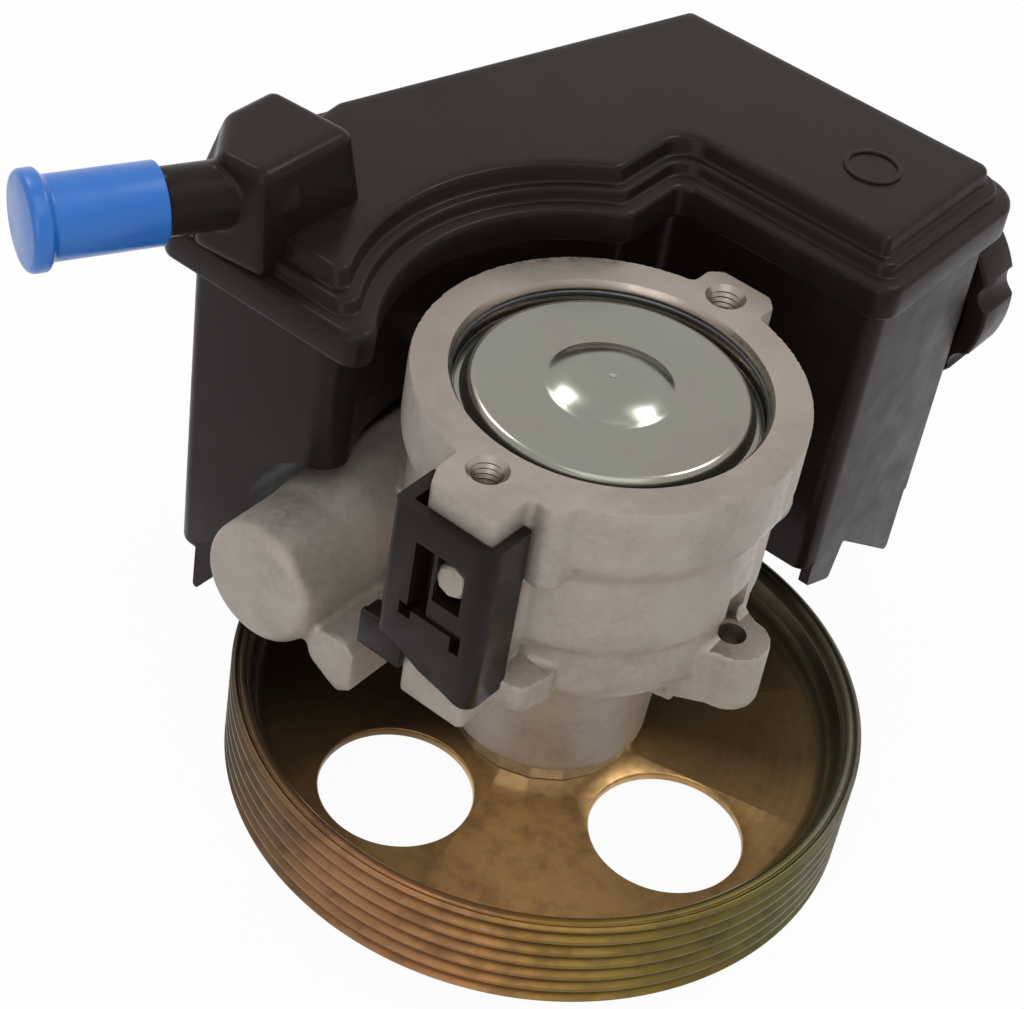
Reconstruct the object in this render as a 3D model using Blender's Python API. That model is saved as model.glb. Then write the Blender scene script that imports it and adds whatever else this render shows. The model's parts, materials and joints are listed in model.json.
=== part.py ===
"""A belt driven power steering pump with its moulded reservoir, in metres, +Z up.

The shaft's axis is Z and its pulley end is at z = 0, where the pulley's rim also stands.
The front ear is at -Y, the filler cap faces +Y and the reservoir lies to -X and +Y.
Each sub-part has its own function, and sizes come from the values below.
"""

import math

import bmesh
import bpy
from mathutils import Matrix, Vector

MM = 0.001
FULL_TURN = 2 * math.pi

# Facets of round pieces, by how large they are
rim_steps = 36
body_steps = 32
round_steps = 20
inner_steps = 18
small_steps = 12

# Clearances between pieces
seat_gap = 0.3 * MM
fit_gap = 0.15 * MM
running_gap = 0.4 * MM

# Pulley
pulley_radius = 66.0 * MM
pulley_height = 22.2 * MM
groove_pitch = 3.56 * MM
groove_count = 6
groove_depth = 2.4 * MM
rim_wall = 4.3 * MM
web_top = 13.0 * MM
web_thickness = 2.2 * MM
web_fillet = 4.0 * MM
web_bore_radius = 11.0 * MM
web_hole_radius = 15.8 * MM
web_hole_circle = 38.8 * MM
web_hole_count = 4
web_hole_phase = math.radians(-11.8)

# Hub and its bolts
hub_sleeve_radius = 10.6 * MM
hub_flange_radius = 19.4 * MM
hub_flange_thickness = 3.0 * MM
hub_sleeve_drop = 5.0 * MM
bolt_circle = 15.3 * MM
bolt_count = 3
bolt_radius = 2.4 * MM
bolt_head_radius = 4.3 * MM
bolt_head_height = 3.4 * MM

# Drive shaft
shaft_hub_radius = 7.0 * MM
shaft_radius = 8.5 * MM
shaft_spline_radius = 7.4 * MM
shaft_chamfer = 0.8 * MM

# Housing nose and what it holds, from the pulley side inwards
nose_bottom = 17.0 * MM
nose_bottom_radius = 20.9 * MM
nose_top_radius = 21.8 * MM
nose_top = 42.0 * MM
nose_chamfer = 0.8 * MM
bearing_radius = 17.0 * MM
bearing_width = 11.0 * MM
bearing_race = 3.0 * MM
bearing_bottom = 20.2 * MM
ball_radius = 2.3 * MM
ball_count = 7
snap_ring_thickness = 1.2 * MM
snap_ring_inset = 2.2 * MM
snap_groove_depth = 0.7 * MM
seal_radius = 14.5 * MM
seal_height = 6.5 * MM
seal_lip_gap = 0.1 * MM
bush_wall = 2.6 * MM
bush_floor = 41.0 * MM

# Housing body
housing_floor = 56.0 * MM
housing_top = 103.0 * MM
ring_radius = 38.5 * MM
ring_height = 15.0 * MM
neck_height = 4.2 * MM
body_radius = 35.9 * MM
body_step = 0.7 * MM
body_step_height = 65.6 * MM
belly_height = 54.5 * MM
belly_radius = 30.0 * MM
belly_bottom = 49.0 * MM
pump_bore_radius = 30.75 * MM
bore_chamfer = 1.4 * MM

# Ears with their ribs, front and back
ear_hole_radius = 3.4 * MM
ear_hole_depth = 16.0 * MM
ear_hole_reach = 37.8 * MM
front_ear_left = -6.4 * MM
front_ear_right = 11.0 * MM
front_ear_reach = 48.3 * MM
front_ear_foot = 51.0 * MM
back_ear_half_width = 8.0 * MM
back_ear_reach = 45.0 * MM
back_ear_foot = 80.0 * MM
ear_chamfer = 2.4 * MM
side_rib_radius = 3.2 * MM
side_rib_angle = math.radians(-67.5)
side_rib_foot = 84.0 * MM
foot_pad_length = 12.0 * MM
foot_pad_width = 7.0 * MM
foot_pad_height = 6.0 * MM

# Right mounting boss with the groove above its hole
side_boss_radius = 6.6 * MM
side_boss_reach = 37.8 * MM
side_boss_angle = math.radians(3)
side_boss_top = 61.0 * MM
side_boss_height = 14.0 * MM
side_boss_hole_radius = 3.2 * MM
side_boss_hole_reach = 37.0 * MM
tool_groove_height = 11.0 * MM

# Pressure outlet boss at the back
outlet_offset = 14.0 * MM
outlet_height = 64.0 * MM
outlet_radius = 10.5 * MM
outlet_reach = 39.5 * MM
outlet_bore_radius = 6.0 * MM
outlet_bore_depth = 7.0 * MM

# Flow valve in its closed cylinder, along Y
valve_offset = 40.0 * MM
valve_height = 53.6 * MM
valve_radius = 13.2 * MM
valve_front = 50.5 * MM
valve_back = 19.0 * MM
valve_round = 4.5 * MM
valve_collar_radius = 14.6 * MM
valve_collar_front = 29.0 * MM
valve_bore_radius = 7.6 * MM
valve_bore_front = 42.0 * MM
spool_length = 20.0 * MM
spool_front = 13.0 * MM
spool_waist = 2.0 * MM
valve_spring_wire = 0.7 * MM
valve_spring_turns = 5
plug_hex_radius = 8.8 * MM
plug_hex_height = 5.0 * MM
port_boss_radius = 5.6 * MM
port_boss_offset = 23.6 * MM
port_boss_height = 41.5 * MM
port_boss_front = 46.5 * MM
valve_web_front = 22.0 * MM
valve_web_back = 10.0 * MM
port_web_left = 6.0 * MM
port_web_right = 3.4 * MM
port_web_inset = 3.0 * MM
port_web_drop = 5.0 * MM

# Pump cartridge, upwards from the housing's floor
front_plate_thickness = 6.0 * MM
cam_height = 20.0 * MM
cam_long_radius = 25.0 * MM
cam_short_radius = 22.0 * MM
rotor_radius = 21.2 * MM
rotor_slot_depth = 8.5 * MM
vane_count = 10
vane_thickness = 1.6 * MM
vane_length = 8.0 * MM
vane_tip_gap = 0.2 * MM
rear_plate_thickness = 8.0 * MM
rear_pocket_depth = 5.0 * MM
kidney_inner = 16.5 * MM
kidney_outer = 21.0 * MM
kidney_sweep = math.radians(46)
dowel_radius = 1.5 * MM
dowel_circle = 27.8 * MM
dowel_depth = 3.5 * MM
spring_height = 3.0 * MM
spring_thickness = 0.9 * MM
spring_outer_radius = 27.0 * MM
spring_inner_radius = 15.0 * MM

# Rear cover
cover_thickness = 5.4 * MM
cover_rim_radius = 26.5 * MM
cover_step = 0.8 * MM
cover_dish_radius = 11.5 * MM
cover_dish_inner = 8.0 * MM
cover_dish_depth = 1.6 * MM
cover_seal_depth = 2.4 * MM
cover_seal_height = 2.2 * MM
cover_ring_wire = 1.5 * MM
cover_ring_grip = 0.9 * MM
cover_ring_opening = math.radians(14)

# Reservoir lid: flange edges in plan, seen from above
lid_front = -35.0 * MM
lid_left = -85.0 * MM
lid_kink_left = -90.4 * MM
lid_kink_back = 15.0 * MM
lid_slant_left = -63.8 * MM
lid_back = 109.4 * MM
lid_right = 26.0 * MM
lid_recess_radius = 44.8 * MM
lid_notch_side = -24.8 * MM
lid_notch_back = 55.5 * MM
lid_corner = 5.0 * MM
lid_back_round = 9.3 * MM
lid_tip_corner = 4.0 * MM
lid_notch_corner = 3.5 * MM
lid_bottom = 102.0 * MM
lid_flange_top = 109.6 * MM
lid_step_inset = 3.6 * MM
lid_step_top = 112.2 * MM
lid_plateau_inset = 6.4 * MM
lid_plateau_top = 116.0 * MM
lid_edge_round = 1.4 * MM
lid_wall = 2.4 * MM
lid_mark_radius = 6.2 * MM
lid_mark_wall = 1.0 * MM
lid_mark_height = 0.6 * MM
lid_mark_x = 2.6 * MM
lid_mark_y = 82.0 * MM

# Reservoir tank
tank_inset = 2.4 * MM
tank_left_inset = 7.2 * MM
tank_back_inset = 9.0 * MM
tank_draft = 1.6 * MM
tank_bottom = 31.0 * MM
tank_top = 105.0 * MM
tank_wall = 2.4 * MM
tank_tip_corner = 6.0 * MM
valve_arch_gap = 3.6 * MM
valve_arch_back = 30.0 * MM
skirt_thickness = 2.4 * MM
left_skirt_drop = 11.5 * MM
left_skirt_run = 9.0 * MM
right_skirt_drop = 17.0 * MM
right_skirt_run = 25.0 * MM
step_skirt_drop = 8.0 * MM
step_skirt_run = 12.5 * MM

# Return elbow and its spigot
elbow_top = 131.6 * MM
elbow_left = -84.0 * MM
elbow_right = -57.2 * MM
elbow_front = -36.0 * MM
elbow_back = -6.5 * MM
elbow_taper = 4.2 * MM
elbow_cut_side = 6.0 * MM
elbow_cut_front = 9.0 * MM
elbow_lean = 6.5 * MM
elbow_round = 2.2 * MM
bend_radius = 8.2 * MM
spigot_root_x = -66.6 * MM
spigot_root_y = -25.6 * MM
spigot_root_z = 122.0 * MM
spigot_heading = math.radians(-116.6)
spigot_radius = 6.6 * MM
spigot_bore_radius = 4.6 * MM
spigot_length = 45.2 * MM
spigot_bead = 0.7 * MM
spigot_bead_back = 6.0 * MM
spigot_bead_length = 4.0 * MM

# Protective cap on the spigot
dust_cap_wall = 1.1 * MM
dust_cap_length = 26.0 * MM
dust_cap_end = 1.6 * MM
dust_cap_lip = 1.6 * MM
dust_cap_lip_length = 4.5 * MM

# Filler neck and its screw cap, along Y
filler_offset = 3.0 * MM
filler_height = 77.2 * MM
neck_radius = 18.5 * MM
neck_wall = 2.4 * MM
neck_length = 12.2 * MM
cap_radius = 24.0 * MM
cap_depth = 12.5 * MM
cap_end = 2.6 * MM
cap_lobe_count = 8
cap_lobe_cut_radius = 4.0 * MM
cap_lobe_cut_depth = 2.2 * MM
cap_lobe_phase = math.radians(29)
cap_seal_section = 2.0 * MM
cap_panel_inset = 7.0 * MM
cap_panel_depth = 0.8 * MM

# Suction tube from the tank into the housing
suction_angle = math.radians(150)
suction_height = 85.0 * MM
suction_radius = 6.5 * MM
suction_wall = 1.8 * MM
suction_boss_radius = 10.5 * MM
suction_boss_reach = 42.0 * MM
suction_inner_reach = 32.5 * MM
strainer_gap = 1.4 * MM
strainer_grip = 4.0 * MM
suction_seal_section = 1.6 * MM
suction_collar = 1.6 * MM

# Strainer round the suction tube's inner end
strainer_radius = 9.4 * MM
strainer_wall = 1.4 * MM
strainer_length = 16.0 * MM
strainer_window_count = 4
strainer_window_width = 6.0 * MM

# Bracket clip over the front ear's rib
clip_plate = 2.4 * MM
clip_left = -9.6 * MM
clip_right = 13.4 * MM
clip_top = 97.6 * MM
clip_bottom = 61.2 * MM
clip_side_depth = 9.2 * MM
clip_corner = 4.4 * MM
clip_hook_reach = 3.6 * MM
clip_hook_height = 8.8 * MM
clip_hook_drop = 4.2 * MM
clip_hook_depth = 5.0 * MM
clip_window_left = -2.4 * MM
clip_window_width = 3.0 * MM
clip_window_top = 91.6 * MM
clip_window_bottom = 74.6 * MM
clip_tongue_width = 1.5 * MM
clip_view_width = 5.7 * MM
clip_slot_width = 2.2 * MM
clip_slot_height = 3.4 * MM


def clear_scene():
    for old in list(bpy.data.objects):
        bpy.data.objects.remove(old, do_unlink=True)


def finish(name, colour, roughness, metallic):
    """A Principled material with one colour."""
    made = bpy.data.materials.new(name)
    made.use_nodes = True
    shader = made.node_tree.nodes["Principled BSDF"]
    shader.inputs["Base Color"].default_value = (*colour, 1.0)
    shader.inputs["Roughness"].default_value = roughness
    shader.inputs["Metallic"].default_value = metallic
    made.diffuse_color = (*colour, 1.0)
    return made


def place_object(name, form, look=None, matrix=None, sharp=math.radians(35)):
    """Make an object of a bmesh, with smooth shading broken at sharp edges."""
    bmesh.ops.recalc_face_normals(form, faces=form.faces)
    mesh = bpy.data.meshes.new(name)
    form.to_mesh(mesh)
    form.free()
    mesh.shade_smooth()
    mesh.set_sharp_from_angle(angle=sharp)
    made = bpy.data.objects.new(name, mesh)
    if look is not None:
        mesh.materials.append(look)
    if matrix is not None:
        made.matrix_world = matrix
    bpy.context.scene.collection.objects.link(made)
    return made


def turned(section, steps):
    """Turn a closed section of (radius, height) points once round the Z axis."""
    form = bmesh.new()
    corners = [form.verts.new((radius, 0, height)) for radius, height in section]
    edges = []
    for here, ahead in zip(corners, corners[1:] + corners[:1]):
        if here.co.x > 0 or ahead.co.x > 0:
            edges.append(form.edges.new((here, ahead)))
    bmesh.ops.spin(
        form, geom=corners + edges, axis=(0, 0, 1), cent=(0, 0, 0),
        angle=FULL_TURN, steps=steps, use_merge=True,
    )
    bmesh.ops.remove_doubles(form, verts=form.verts, dist=0.001 * MM)
    return form


def slab(outline, bottom, top):
    """Extrude a plan outline of (x, y) points from one height to another."""
    form = bmesh.new()
    face = form.faces.new([form.verts.new((x, y, bottom)) for x, y in outline])
    grown = bmesh.ops.extrude_face_region(form, geom=[face])
    moved = [item for item in grown["geom"] if isinstance(item, bmesh.types.BMVert)]
    bmesh.ops.translate(form, verts=moved, vec=(0, 0, top - bottom))
    return form


def loft(outlines):
    """Skin a stack of (outline, height) rings that have as many points each."""
    form = bmesh.new()
    rings = [[form.verts.new((x, y, height)) for x, y in outline] for outline, height in outlines]
    for low, high in zip(rings, rings[1:]):
        for index in range(len(low)):
            after = (index + 1) % len(low)
            form.faces.new((low[index], low[after], high[after], high[index]))
    form.faces.new(list(reversed(rings[0])))
    form.faces.new(rings[-1])
    return form


def block(left, right, front, back, bottom, top):
    """A box between six planes."""
    corners = [(left, front), (right, front), (right, back), (left, back)]
    return slab(corners, bottom, top)


def rod(radius, bottom, top, steps):
    """A plain cylinder on the Z axis."""
    return turned([(0, bottom), (radius, bottom), (radius, top), (0, top)], steps)


def polar(radius, angle):
    return radius * math.cos(angle), radius * math.sin(angle)


def arc(centre, radius, start, end, count):
    """Points along an arc, both ends included."""
    points = []
    for step in range(count + 1):
        angle = start + (end - start) * step / count
        points.append((centre[0] + radius * math.cos(angle), centre[1] + radius * math.sin(angle)))
    return points


def along_y(offset=0.0, height=0.0):
    """A frame whose Z axis points along +Y."""
    return Matrix.Translation((offset, 0, height)) @ Matrix.Rotation(-math.pi / 2, 4, "X")


def along_heading(origin, heading):
    """A frame whose Z axis lies level and points along a heading in plan."""
    turn = Matrix.Rotation(heading, 4, "Z") @ Matrix.Rotation(math.pi / 2, 4, "Y")
    return Matrix.Translation(origin) @ turn


def helper(name, form, matrix=None):
    """A solid that only shapes others, kept out of the model."""
    made = place_object(name, form, None, matrix)
    made.hide_render = True
    made.display_type = "WIRE"
    return made


def combine(target, tool, operation):
    change = target.modifiers.new(f"{operation.lower()} {tool.name}", "BOOLEAN")
    change.operation = operation
    change.solver = "EXACT"
    change.object = tool


def add_form(target, name, form, matrix=None):
    combine(target, helper(name, form, matrix), "UNION")


def cut_form(target, name, form, matrix=None):
    combine(target, helper(name, form, matrix), "DIFFERENCE")


def soften(target, width, segments=1, angle=math.radians(40)):
    """Round a solid's sharp edges."""
    bevel = target.modifiers.new("rounded edges", "BEVEL")
    bevel.width = width
    bevel.segments = segments
    bevel.limit_method = "ANGLE"
    bevel.angle_limit = angle
    bevel.miter_outer = "MITER_SHARP"


def make_finishes():
    return {
        "cast": finish("cast_aluminium", (0.46, 0.43, 0.40), 0.45, 0.85),
        "zinc": finish("zinc_plate", (0.42, 0.43, 0.40), 0.28, 1.0),
        "steel": finish("bright_steel", (0.50, 0.50, 0.51), 0.25, 1.0),
        "dark_steel": finish("dark_steel", (0.12, 0.12, 0.12), 0.4, 1.0),
        "chromate": finish("yellow_chromate", (0.38, 0.24, 0.10), 0.32, 1.0),
        "plastic": finish("dark_plastic", (0.035, 0.026, 0.024), 0.38, 0.0),
        "blue": finish("blue_cap_plastic", (0.02, 0.16, 0.53), 0.4, 0.0),
        "rubber": finish("seal_rubber", (0.015, 0.015, 0.015), 0.7, 0.0),
        "bronze": finish("bush_bronze", (0.45, 0.28, 0.12), 0.4, 1.0),
        "mesh": finish("strainer_plastic", (0.55, 0.50, 0.40), 0.6, 0.0),
    }


def make_pulley(looks):
    """Pressed steel rim with vee grooves, a dished web and four round holes."""
    rim_inner = pulley_radius - rim_wall
    band = groove_pitch * groove_count
    first = (pulley_height + band) / 2
    section = [
        (web_bore_radius, web_top),
        (rim_inner - web_fillet, web_top),
        (rim_inner - web_fillet * 0.3, web_top + web_fillet * 0.3),
        (rim_inner, web_top + web_fillet),
        (rim_inner, pulley_height),
        (pulley_radius, pulley_height),
    ]
    for groove in range(groove_count):
        peak = first - groove * groove_pitch
        section.append((pulley_radius, peak))
        section.append((pulley_radius - groove_depth, peak - groove_pitch / 2))
    section += [
        (pulley_radius, first - band),
        (pulley_radius, 0),
        (rim_inner, 0),
        (rim_inner, web_top - web_thickness - web_fillet * 0.6),
        (rim_inner - web_fillet * 0.6, web_top - web_thickness),
        (web_bore_radius, web_top - web_thickness),
    ]
    pulley = place_object("pulley", turned(section, rim_steps), looks["chromate"])
    for hole in range(web_hole_count):
        x, y = polar(web_hole_circle, web_hole_phase + FULL_TURN * hole / web_hole_count)
        cutter = rod(web_hole_radius, web_top - 2 * web_thickness, web_top + web_thickness, round_steps)
        cut_form(pulley, f"web hole {hole + 1}", cutter, Matrix.Translation((x, y, 0)))
    for bolt in range(bolt_count):
        x, y = polar(bolt_circle, FULL_TURN * bolt / bolt_count)
        cutter = rod(bolt_radius + fit_gap, web_top - 2 * web_thickness, web_top + web_thickness, small_steps)
        cut_form(pulley, f"web bolt hole {bolt + 1}", cutter, Matrix.Translation((x, y, 0)))
    return pulley


def make_hub(looks):
    """Flanged sleeve pressed on the shaft, clamping the web from above."""
    bottom = web_top - web_thickness - hub_sleeve_drop
    flange_bottom = web_top + fit_gap
    flange_top = flange_bottom + hub_flange_thickness
    bore = shaft_hub_radius + fit_gap
    section = [
        (bore, flange_top),
        (hub_flange_radius, flange_top),
        (hub_flange_radius, flange_bottom),
        (hub_sleeve_radius, flange_bottom),
        (hub_sleeve_radius, bottom),
        (bore, bottom),
    ]
    hub = place_object("pulley_hub", turned(section, inner_steps), looks["steel"])
    for bolt in range(bolt_count):
        x, y = polar(bolt_circle, FULL_TURN * bolt / bolt_count)
        low = flange_bottom - web_thickness
        cutter = rod(bolt_radius + fit_gap, low, flange_top + web_thickness, small_steps)
        cut_form(hub, f"hub bolt hole {bolt + 1}", cutter, Matrix.Translation((x, y, 0)))
    return hub


def make_pulley_bolts(looks):
    """Hexagon bolts, from below through the web into the hub's flange."""
    seat = web_top - web_thickness - fit_gap
    top = web_top + fit_gap + hub_flange_thickness
    for bolt in range(bolt_count):
        x, y = polar(bolt_circle, FULL_TURN * bolt / bolt_count)
        head = rod(bolt_head_radius, seat - bolt_head_height, seat, 6)
        made = place_object(f"pulley_bolt_{bolt + 1}", head, looks["steel"], Matrix.Translation((x, y, 0)))
        shank = rod(bolt_radius, seat - bolt_head_height / 2, top, small_steps)
        add_form(made, f"bolt shank {bolt + 1}", shank, Matrix.Translation((x, y, 0)))


def cartridge_levels():
    """Heights of the cartridge's faces, from the housing's floor up to the cover."""
    front_bottom = housing_floor + seat_gap
    front_top = front_bottom + front_plate_thickness
    cam_bottom = front_top + seat_gap
    cam_top = cam_bottom + cam_height
    rear_bottom = cam_top + seat_gap
    rear_top = rear_bottom + rear_plate_thickness
    spring_bottom = rear_top + seat_gap
    spring_top = spring_bottom + spring_height
    cover_bottom = spring_top + seat_gap
    return {
        "front": (front_bottom, front_top),
        "cam": (cam_bottom, cam_top),
        "rear": (rear_bottom, rear_top),
        "spring": (spring_bottom, spring_top),
        "cover": (cover_bottom, cover_bottom + cover_thickness),
    }


def make_shaft(looks):
    """Stepped shaft: hub seat, bearing and bush journal, then the rotor's spline seat."""
    levels = cartridge_levels()
    shoulder = web_top + fit_gap + hub_flange_thickness + fit_gap
    spline_bottom = levels["front"][0]
    top = levels["rear"][0] + rear_pocket_depth - seat_gap
    section = [
        (0, 0),
        (shaft_hub_radius - shaft_chamfer, 0),
        (shaft_hub_radius, shaft_chamfer),
        (shaft_hub_radius, shoulder),
        (shaft_radius, shoulder),
        (shaft_radius, spline_bottom),
        (shaft_spline_radius, spline_bottom),
        (shaft_spline_radius, top - shaft_chamfer),
        (shaft_spline_radius - shaft_chamfer, top),
        (0, top),
    ]
    return place_object("drive_shaft", turned(section, inner_steps), looks["steel"])


def race_section(inner, outer, groove_side):
    """A bearing ring's section with a vee track for the balls on one side."""
    middle = bearing_bottom + bearing_width / 2
    half = bearing_width / 2
    track = ball_radius * 0.9
    if groove_side == "out":
        bite = [(outer, middle - track), (outer - track * 0.45, middle), (outer, middle + track)]
        outside = [(outer, middle - half), *bite, (outer, middle + half)]
        return [(inner, middle - half), *outside, (inner, middle + half)]
    bite = [(inner, middle + track), (inner + track * 0.45, middle), (inner, middle - track)]
    outside = [(outer, middle - half), (outer, middle + half)]
    return [(inner, middle - half), *outside, (inner, middle + half), *bite]


def make_bearing(looks):
    """Ball bearing in the nose: two rings and the balls between them."""
    inner_bore = shaft_radius + fit_gap
    inner_outer = inner_bore + bearing_race
    outer_outer = bearing_radius
    outer_inner = outer_outer - bearing_race
    rings = {
        "bearing_outer_ring": race_section(outer_inner, outer_outer, "in"),
        "bearing_inner_ring": race_section(inner_bore, inner_outer, "out"),
    }
    for name, section in rings.items():
        place_object(name, turned(section, inner_steps), looks["steel"])
    pitch = (inner_outer + outer_inner) / 2
    track_room = (outer_inner - inner_outer) / 2 + ball_radius * 0.9 * 0.45
    radius = min(ball_radius, track_room * 0.86)
    for ball in range(ball_count):
        x, y = polar(pitch, FULL_TURN * ball / ball_count)
        form = bmesh.new()
        bmesh.ops.create_icosphere(form, subdivisions=2, radius=radius)
        spot = Matrix.Translation((x, y, bearing_bottom + bearing_width / 2))
        place_object(f"bearing_ball_{ball + 1}", form, looks["steel"], spot)


def make_snap_ring(looks):
    """Flat ring in the nose's groove that keeps the bearing in."""
    top = bearing_bottom - seat_gap
    bottom = top - snap_ring_thickness
    outer = bearing_radius + fit_gap + snap_groove_depth - fit_gap
    inner = bearing_radius - snap_ring_inset
    section = [(inner, bottom), (outer, bottom), (outer, top), (inner, top)]
    ring = place_object("bearing_snap_ring", turned(section, inner_steps), looks["dark_steel"])
    gap = block(0, 2 * outer, -1.5 * MM, 1.5 * MM, bottom - 1 * MM, top + 1 * MM)
    cut_form(ring, "snap ring gap", gap)
    return ring


def seal_level():
    """The lip seal's bottom face, above the bearing."""
    return bearing_bottom + bearing_width + seat_gap


def make_shaft_seal(looks):
    """Lip seal: outer shell, floor and a lip that leans to the shaft."""
    bottom = seal_level() + seat_gap
    top = bottom + seal_height
    lip = shaft_radius + seal_lip_gap
    section = [
        (seal_radius, bottom),
        (seal_radius, top),
        (seal_radius - 1.6 * MM, top),
        (seal_radius - 1.6 * MM, bottom + 2.2 * MM),
        (lip + 2.2 * MM, bottom + 2.2 * MM),
        (lip + 2.2 * MM, top - 1.0 * MM),
        (lip, top - 1.8 * MM),
        (lip + 1.0 * MM, bottom),
    ]
    return place_object("shaft_seal", turned(section, inner_steps), looks["rubber"])


def make_bush(looks):
    """Plain bearing bush under the rotor."""
    inner = shaft_radius + fit_gap
    outer = inner + bush_wall
    top = housing_floor - seat_gap
    bottom = bush_floor + seat_gap
    section = [(inner, bottom), (outer, bottom), (outer, top), (inner, top)]
    return place_object("plain_bush", turned(section, inner_steps), looks["bronze"])


def housing_section():
    """The casting's turned section: nose, belly, body, neck and ring, then the bores back down."""
    ring_bottom = housing_top - ring_height
    neck_bottom = ring_bottom - neck_height
    bearing_bore = bearing_radius + fit_gap
    seal_bore = seal_radius + fit_gap
    bush_bore = shaft_radius + fit_gap + bush_wall + fit_gap
    snap_bottom = bearing_bottom - seat_gap - snap_ring_thickness - fit_gap
    snap_radius = bearing_bore + snap_groove_depth
    seal_top = seal_level() + seat_gap + seal_height + seat_gap
    groove_middle = cover_ring_level()
    groove_half = cover_ring_wire / 2 + fit_gap
    groove_radius = pump_bore_radius + cover_ring_grip
    outside = [
        (nose_bottom_radius - nose_chamfer, nose_bottom),
        (nose_bottom_radius, nose_bottom + nose_chamfer),
        (nose_top_radius, nose_top),
        (nose_top_radius + 1.4 * MM, nose_top + 3.4 * MM),
        (belly_radius, belly_bottom),
        (body_radius - body_step - 2.4 * MM, belly_bottom + 2.0 * MM),
        (body_radius - body_step, belly_height),
        (body_radius - body_step, body_step_height - 0.6 * MM),
        (body_radius, body_step_height + 0.6 * MM),
        (body_radius, neck_bottom - 0.8 * MM),
        (body_radius + 0.9 * MM, neck_bottom),
        (ring_radius - 0.4 * MM, ring_bottom),
        (ring_radius, ring_bottom + 1.0 * MM),
        (ring_radius, housing_top - 0.8 * MM),
        (ring_radius - 0.8 * MM, housing_top),
    ]
    inside = [
        (pump_bore_radius + bore_chamfer, housing_top),
        (pump_bore_radius, housing_top - bore_chamfer),
        (pump_bore_radius, groove_middle + groove_half),
        (groove_radius, groove_middle + groove_half),
        (groove_radius, groove_middle - groove_half),
        (pump_bore_radius, groove_middle - groove_half),
        (pump_bore_radius, housing_floor),
        (bush_bore, housing_floor),
        (bush_bore, bush_floor),
        (shaft_radius + running_gap, bush_floor),
        (shaft_radius + running_gap, seal_top),
        (seal_bore, seal_top),
        (seal_bore, seal_level()),
        (bearing_bore, seal_level()),
        (bearing_bore, snap_bottom + snap_ring_thickness + 2 * fit_gap),
        (snap_radius, snap_bottom + snap_ring_thickness + 2 * fit_gap),
        (snap_radius, snap_bottom),
        (bearing_bore, snap_bottom),
        (bearing_bore, nose_bottom),
    ]
    return outside, inside


def cover_ring_level():
    """Middle height of the wire ring that rests on the cover's rim."""
    return cartridge_levels()["cover"][1] - cover_step + seat_gap + cover_ring_wire / 2


def add_ears(housing):
    """Two ears flush with the ring's top: the front one runs down as a rib to a flat foot."""
    inner = pump_bore_radius + 2 * MM
    slant = ear_chamfer
    front = [
        (front_ear_left, -inner),
        (front_ear_left, -front_ear_reach + 2 * slant),
        (front_ear_left + slant, -front_ear_reach),
        (front_ear_right, -front_ear_reach),
        (front_ear_right, -inner),
    ]
    add_form(housing, "front ear rib", slab(front, front_ear_foot, housing_top))
    back = [
        (back_ear_half_width, inner),
        (back_ear_half_width, back_ear_reach - slant),
        (back_ear_half_width - slant, back_ear_reach),
        (slant - back_ear_half_width, back_ear_reach),
        (-back_ear_half_width, back_ear_reach - slant),
        (-back_ear_half_width, inner),
    ]
    add_form(housing, "back ear", slab(back, back_ear_foot, housing_top))
    for side, name in ((-1, "front"), (1, "back")):
        spot = Matrix.Translation((0, side * ear_hole_reach, 0))
        cutter = rod(ear_hole_radius, housing_top - ear_hole_depth, housing_top + 1 * MM, small_steps)
        cut_form(housing, f"{name} ear hole", cutter, spot)


def add_side_features(housing):
    """The small rib beside the front ear, the foot pad and the right mounting boss."""
    x, y = polar(ring_radius, side_rib_angle)
    rib = rod(side_rib_radius, side_rib_foot, housing_top, small_steps)
    add_form(housing, "side rib", rib, Matrix.Translation((x, y, 0)))
    pad_front = -front_ear_reach + 9 * MM
    pad = block(
        front_ear_right - 2 * MM, front_ear_right + foot_pad_width,
        pad_front, pad_front + foot_pad_length,
        front_ear_foot + 4 * MM, front_ear_foot + 4 * MM + foot_pad_height,
    )
    add_form(housing, "foot pad", pad)
    bottom = side_boss_top - side_boss_height
    inward = pump_bore_radius + 1.5 * MM
    boss = arc((side_boss_reach, 0), side_boss_radius, -math.pi / 2, math.pi / 2, 8)
    boss += [(inward, side_boss_radius + 1.5 * MM), (inward, -side_boss_radius - 1.5 * MM)]
    turn = Matrix.Rotation(side_boss_angle, 4, "Z")
    add_form(housing, "side boss", slab(boss, bottom, side_boss_top), turn)
    at_hole = turn @ Matrix.Translation((side_boss_hole_reach, 0, 0))
    hole = rod(side_boss_hole_radius, bottom - 1 * MM, side_boss_top + tool_groove_height, small_steps)
    cut_form(housing, "side boss hole and tool groove", hole, at_hole)


def add_outlet(housing):
    """Pressure outlet boss at the back, beside the tank's notch."""
    frame = along_y(outlet_offset, outlet_height)
    inner = pump_bore_radius * 0.86
    add_form(housing, "outlet boss", rod(outlet_radius, inner, outlet_reach, round_steps), frame)


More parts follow.
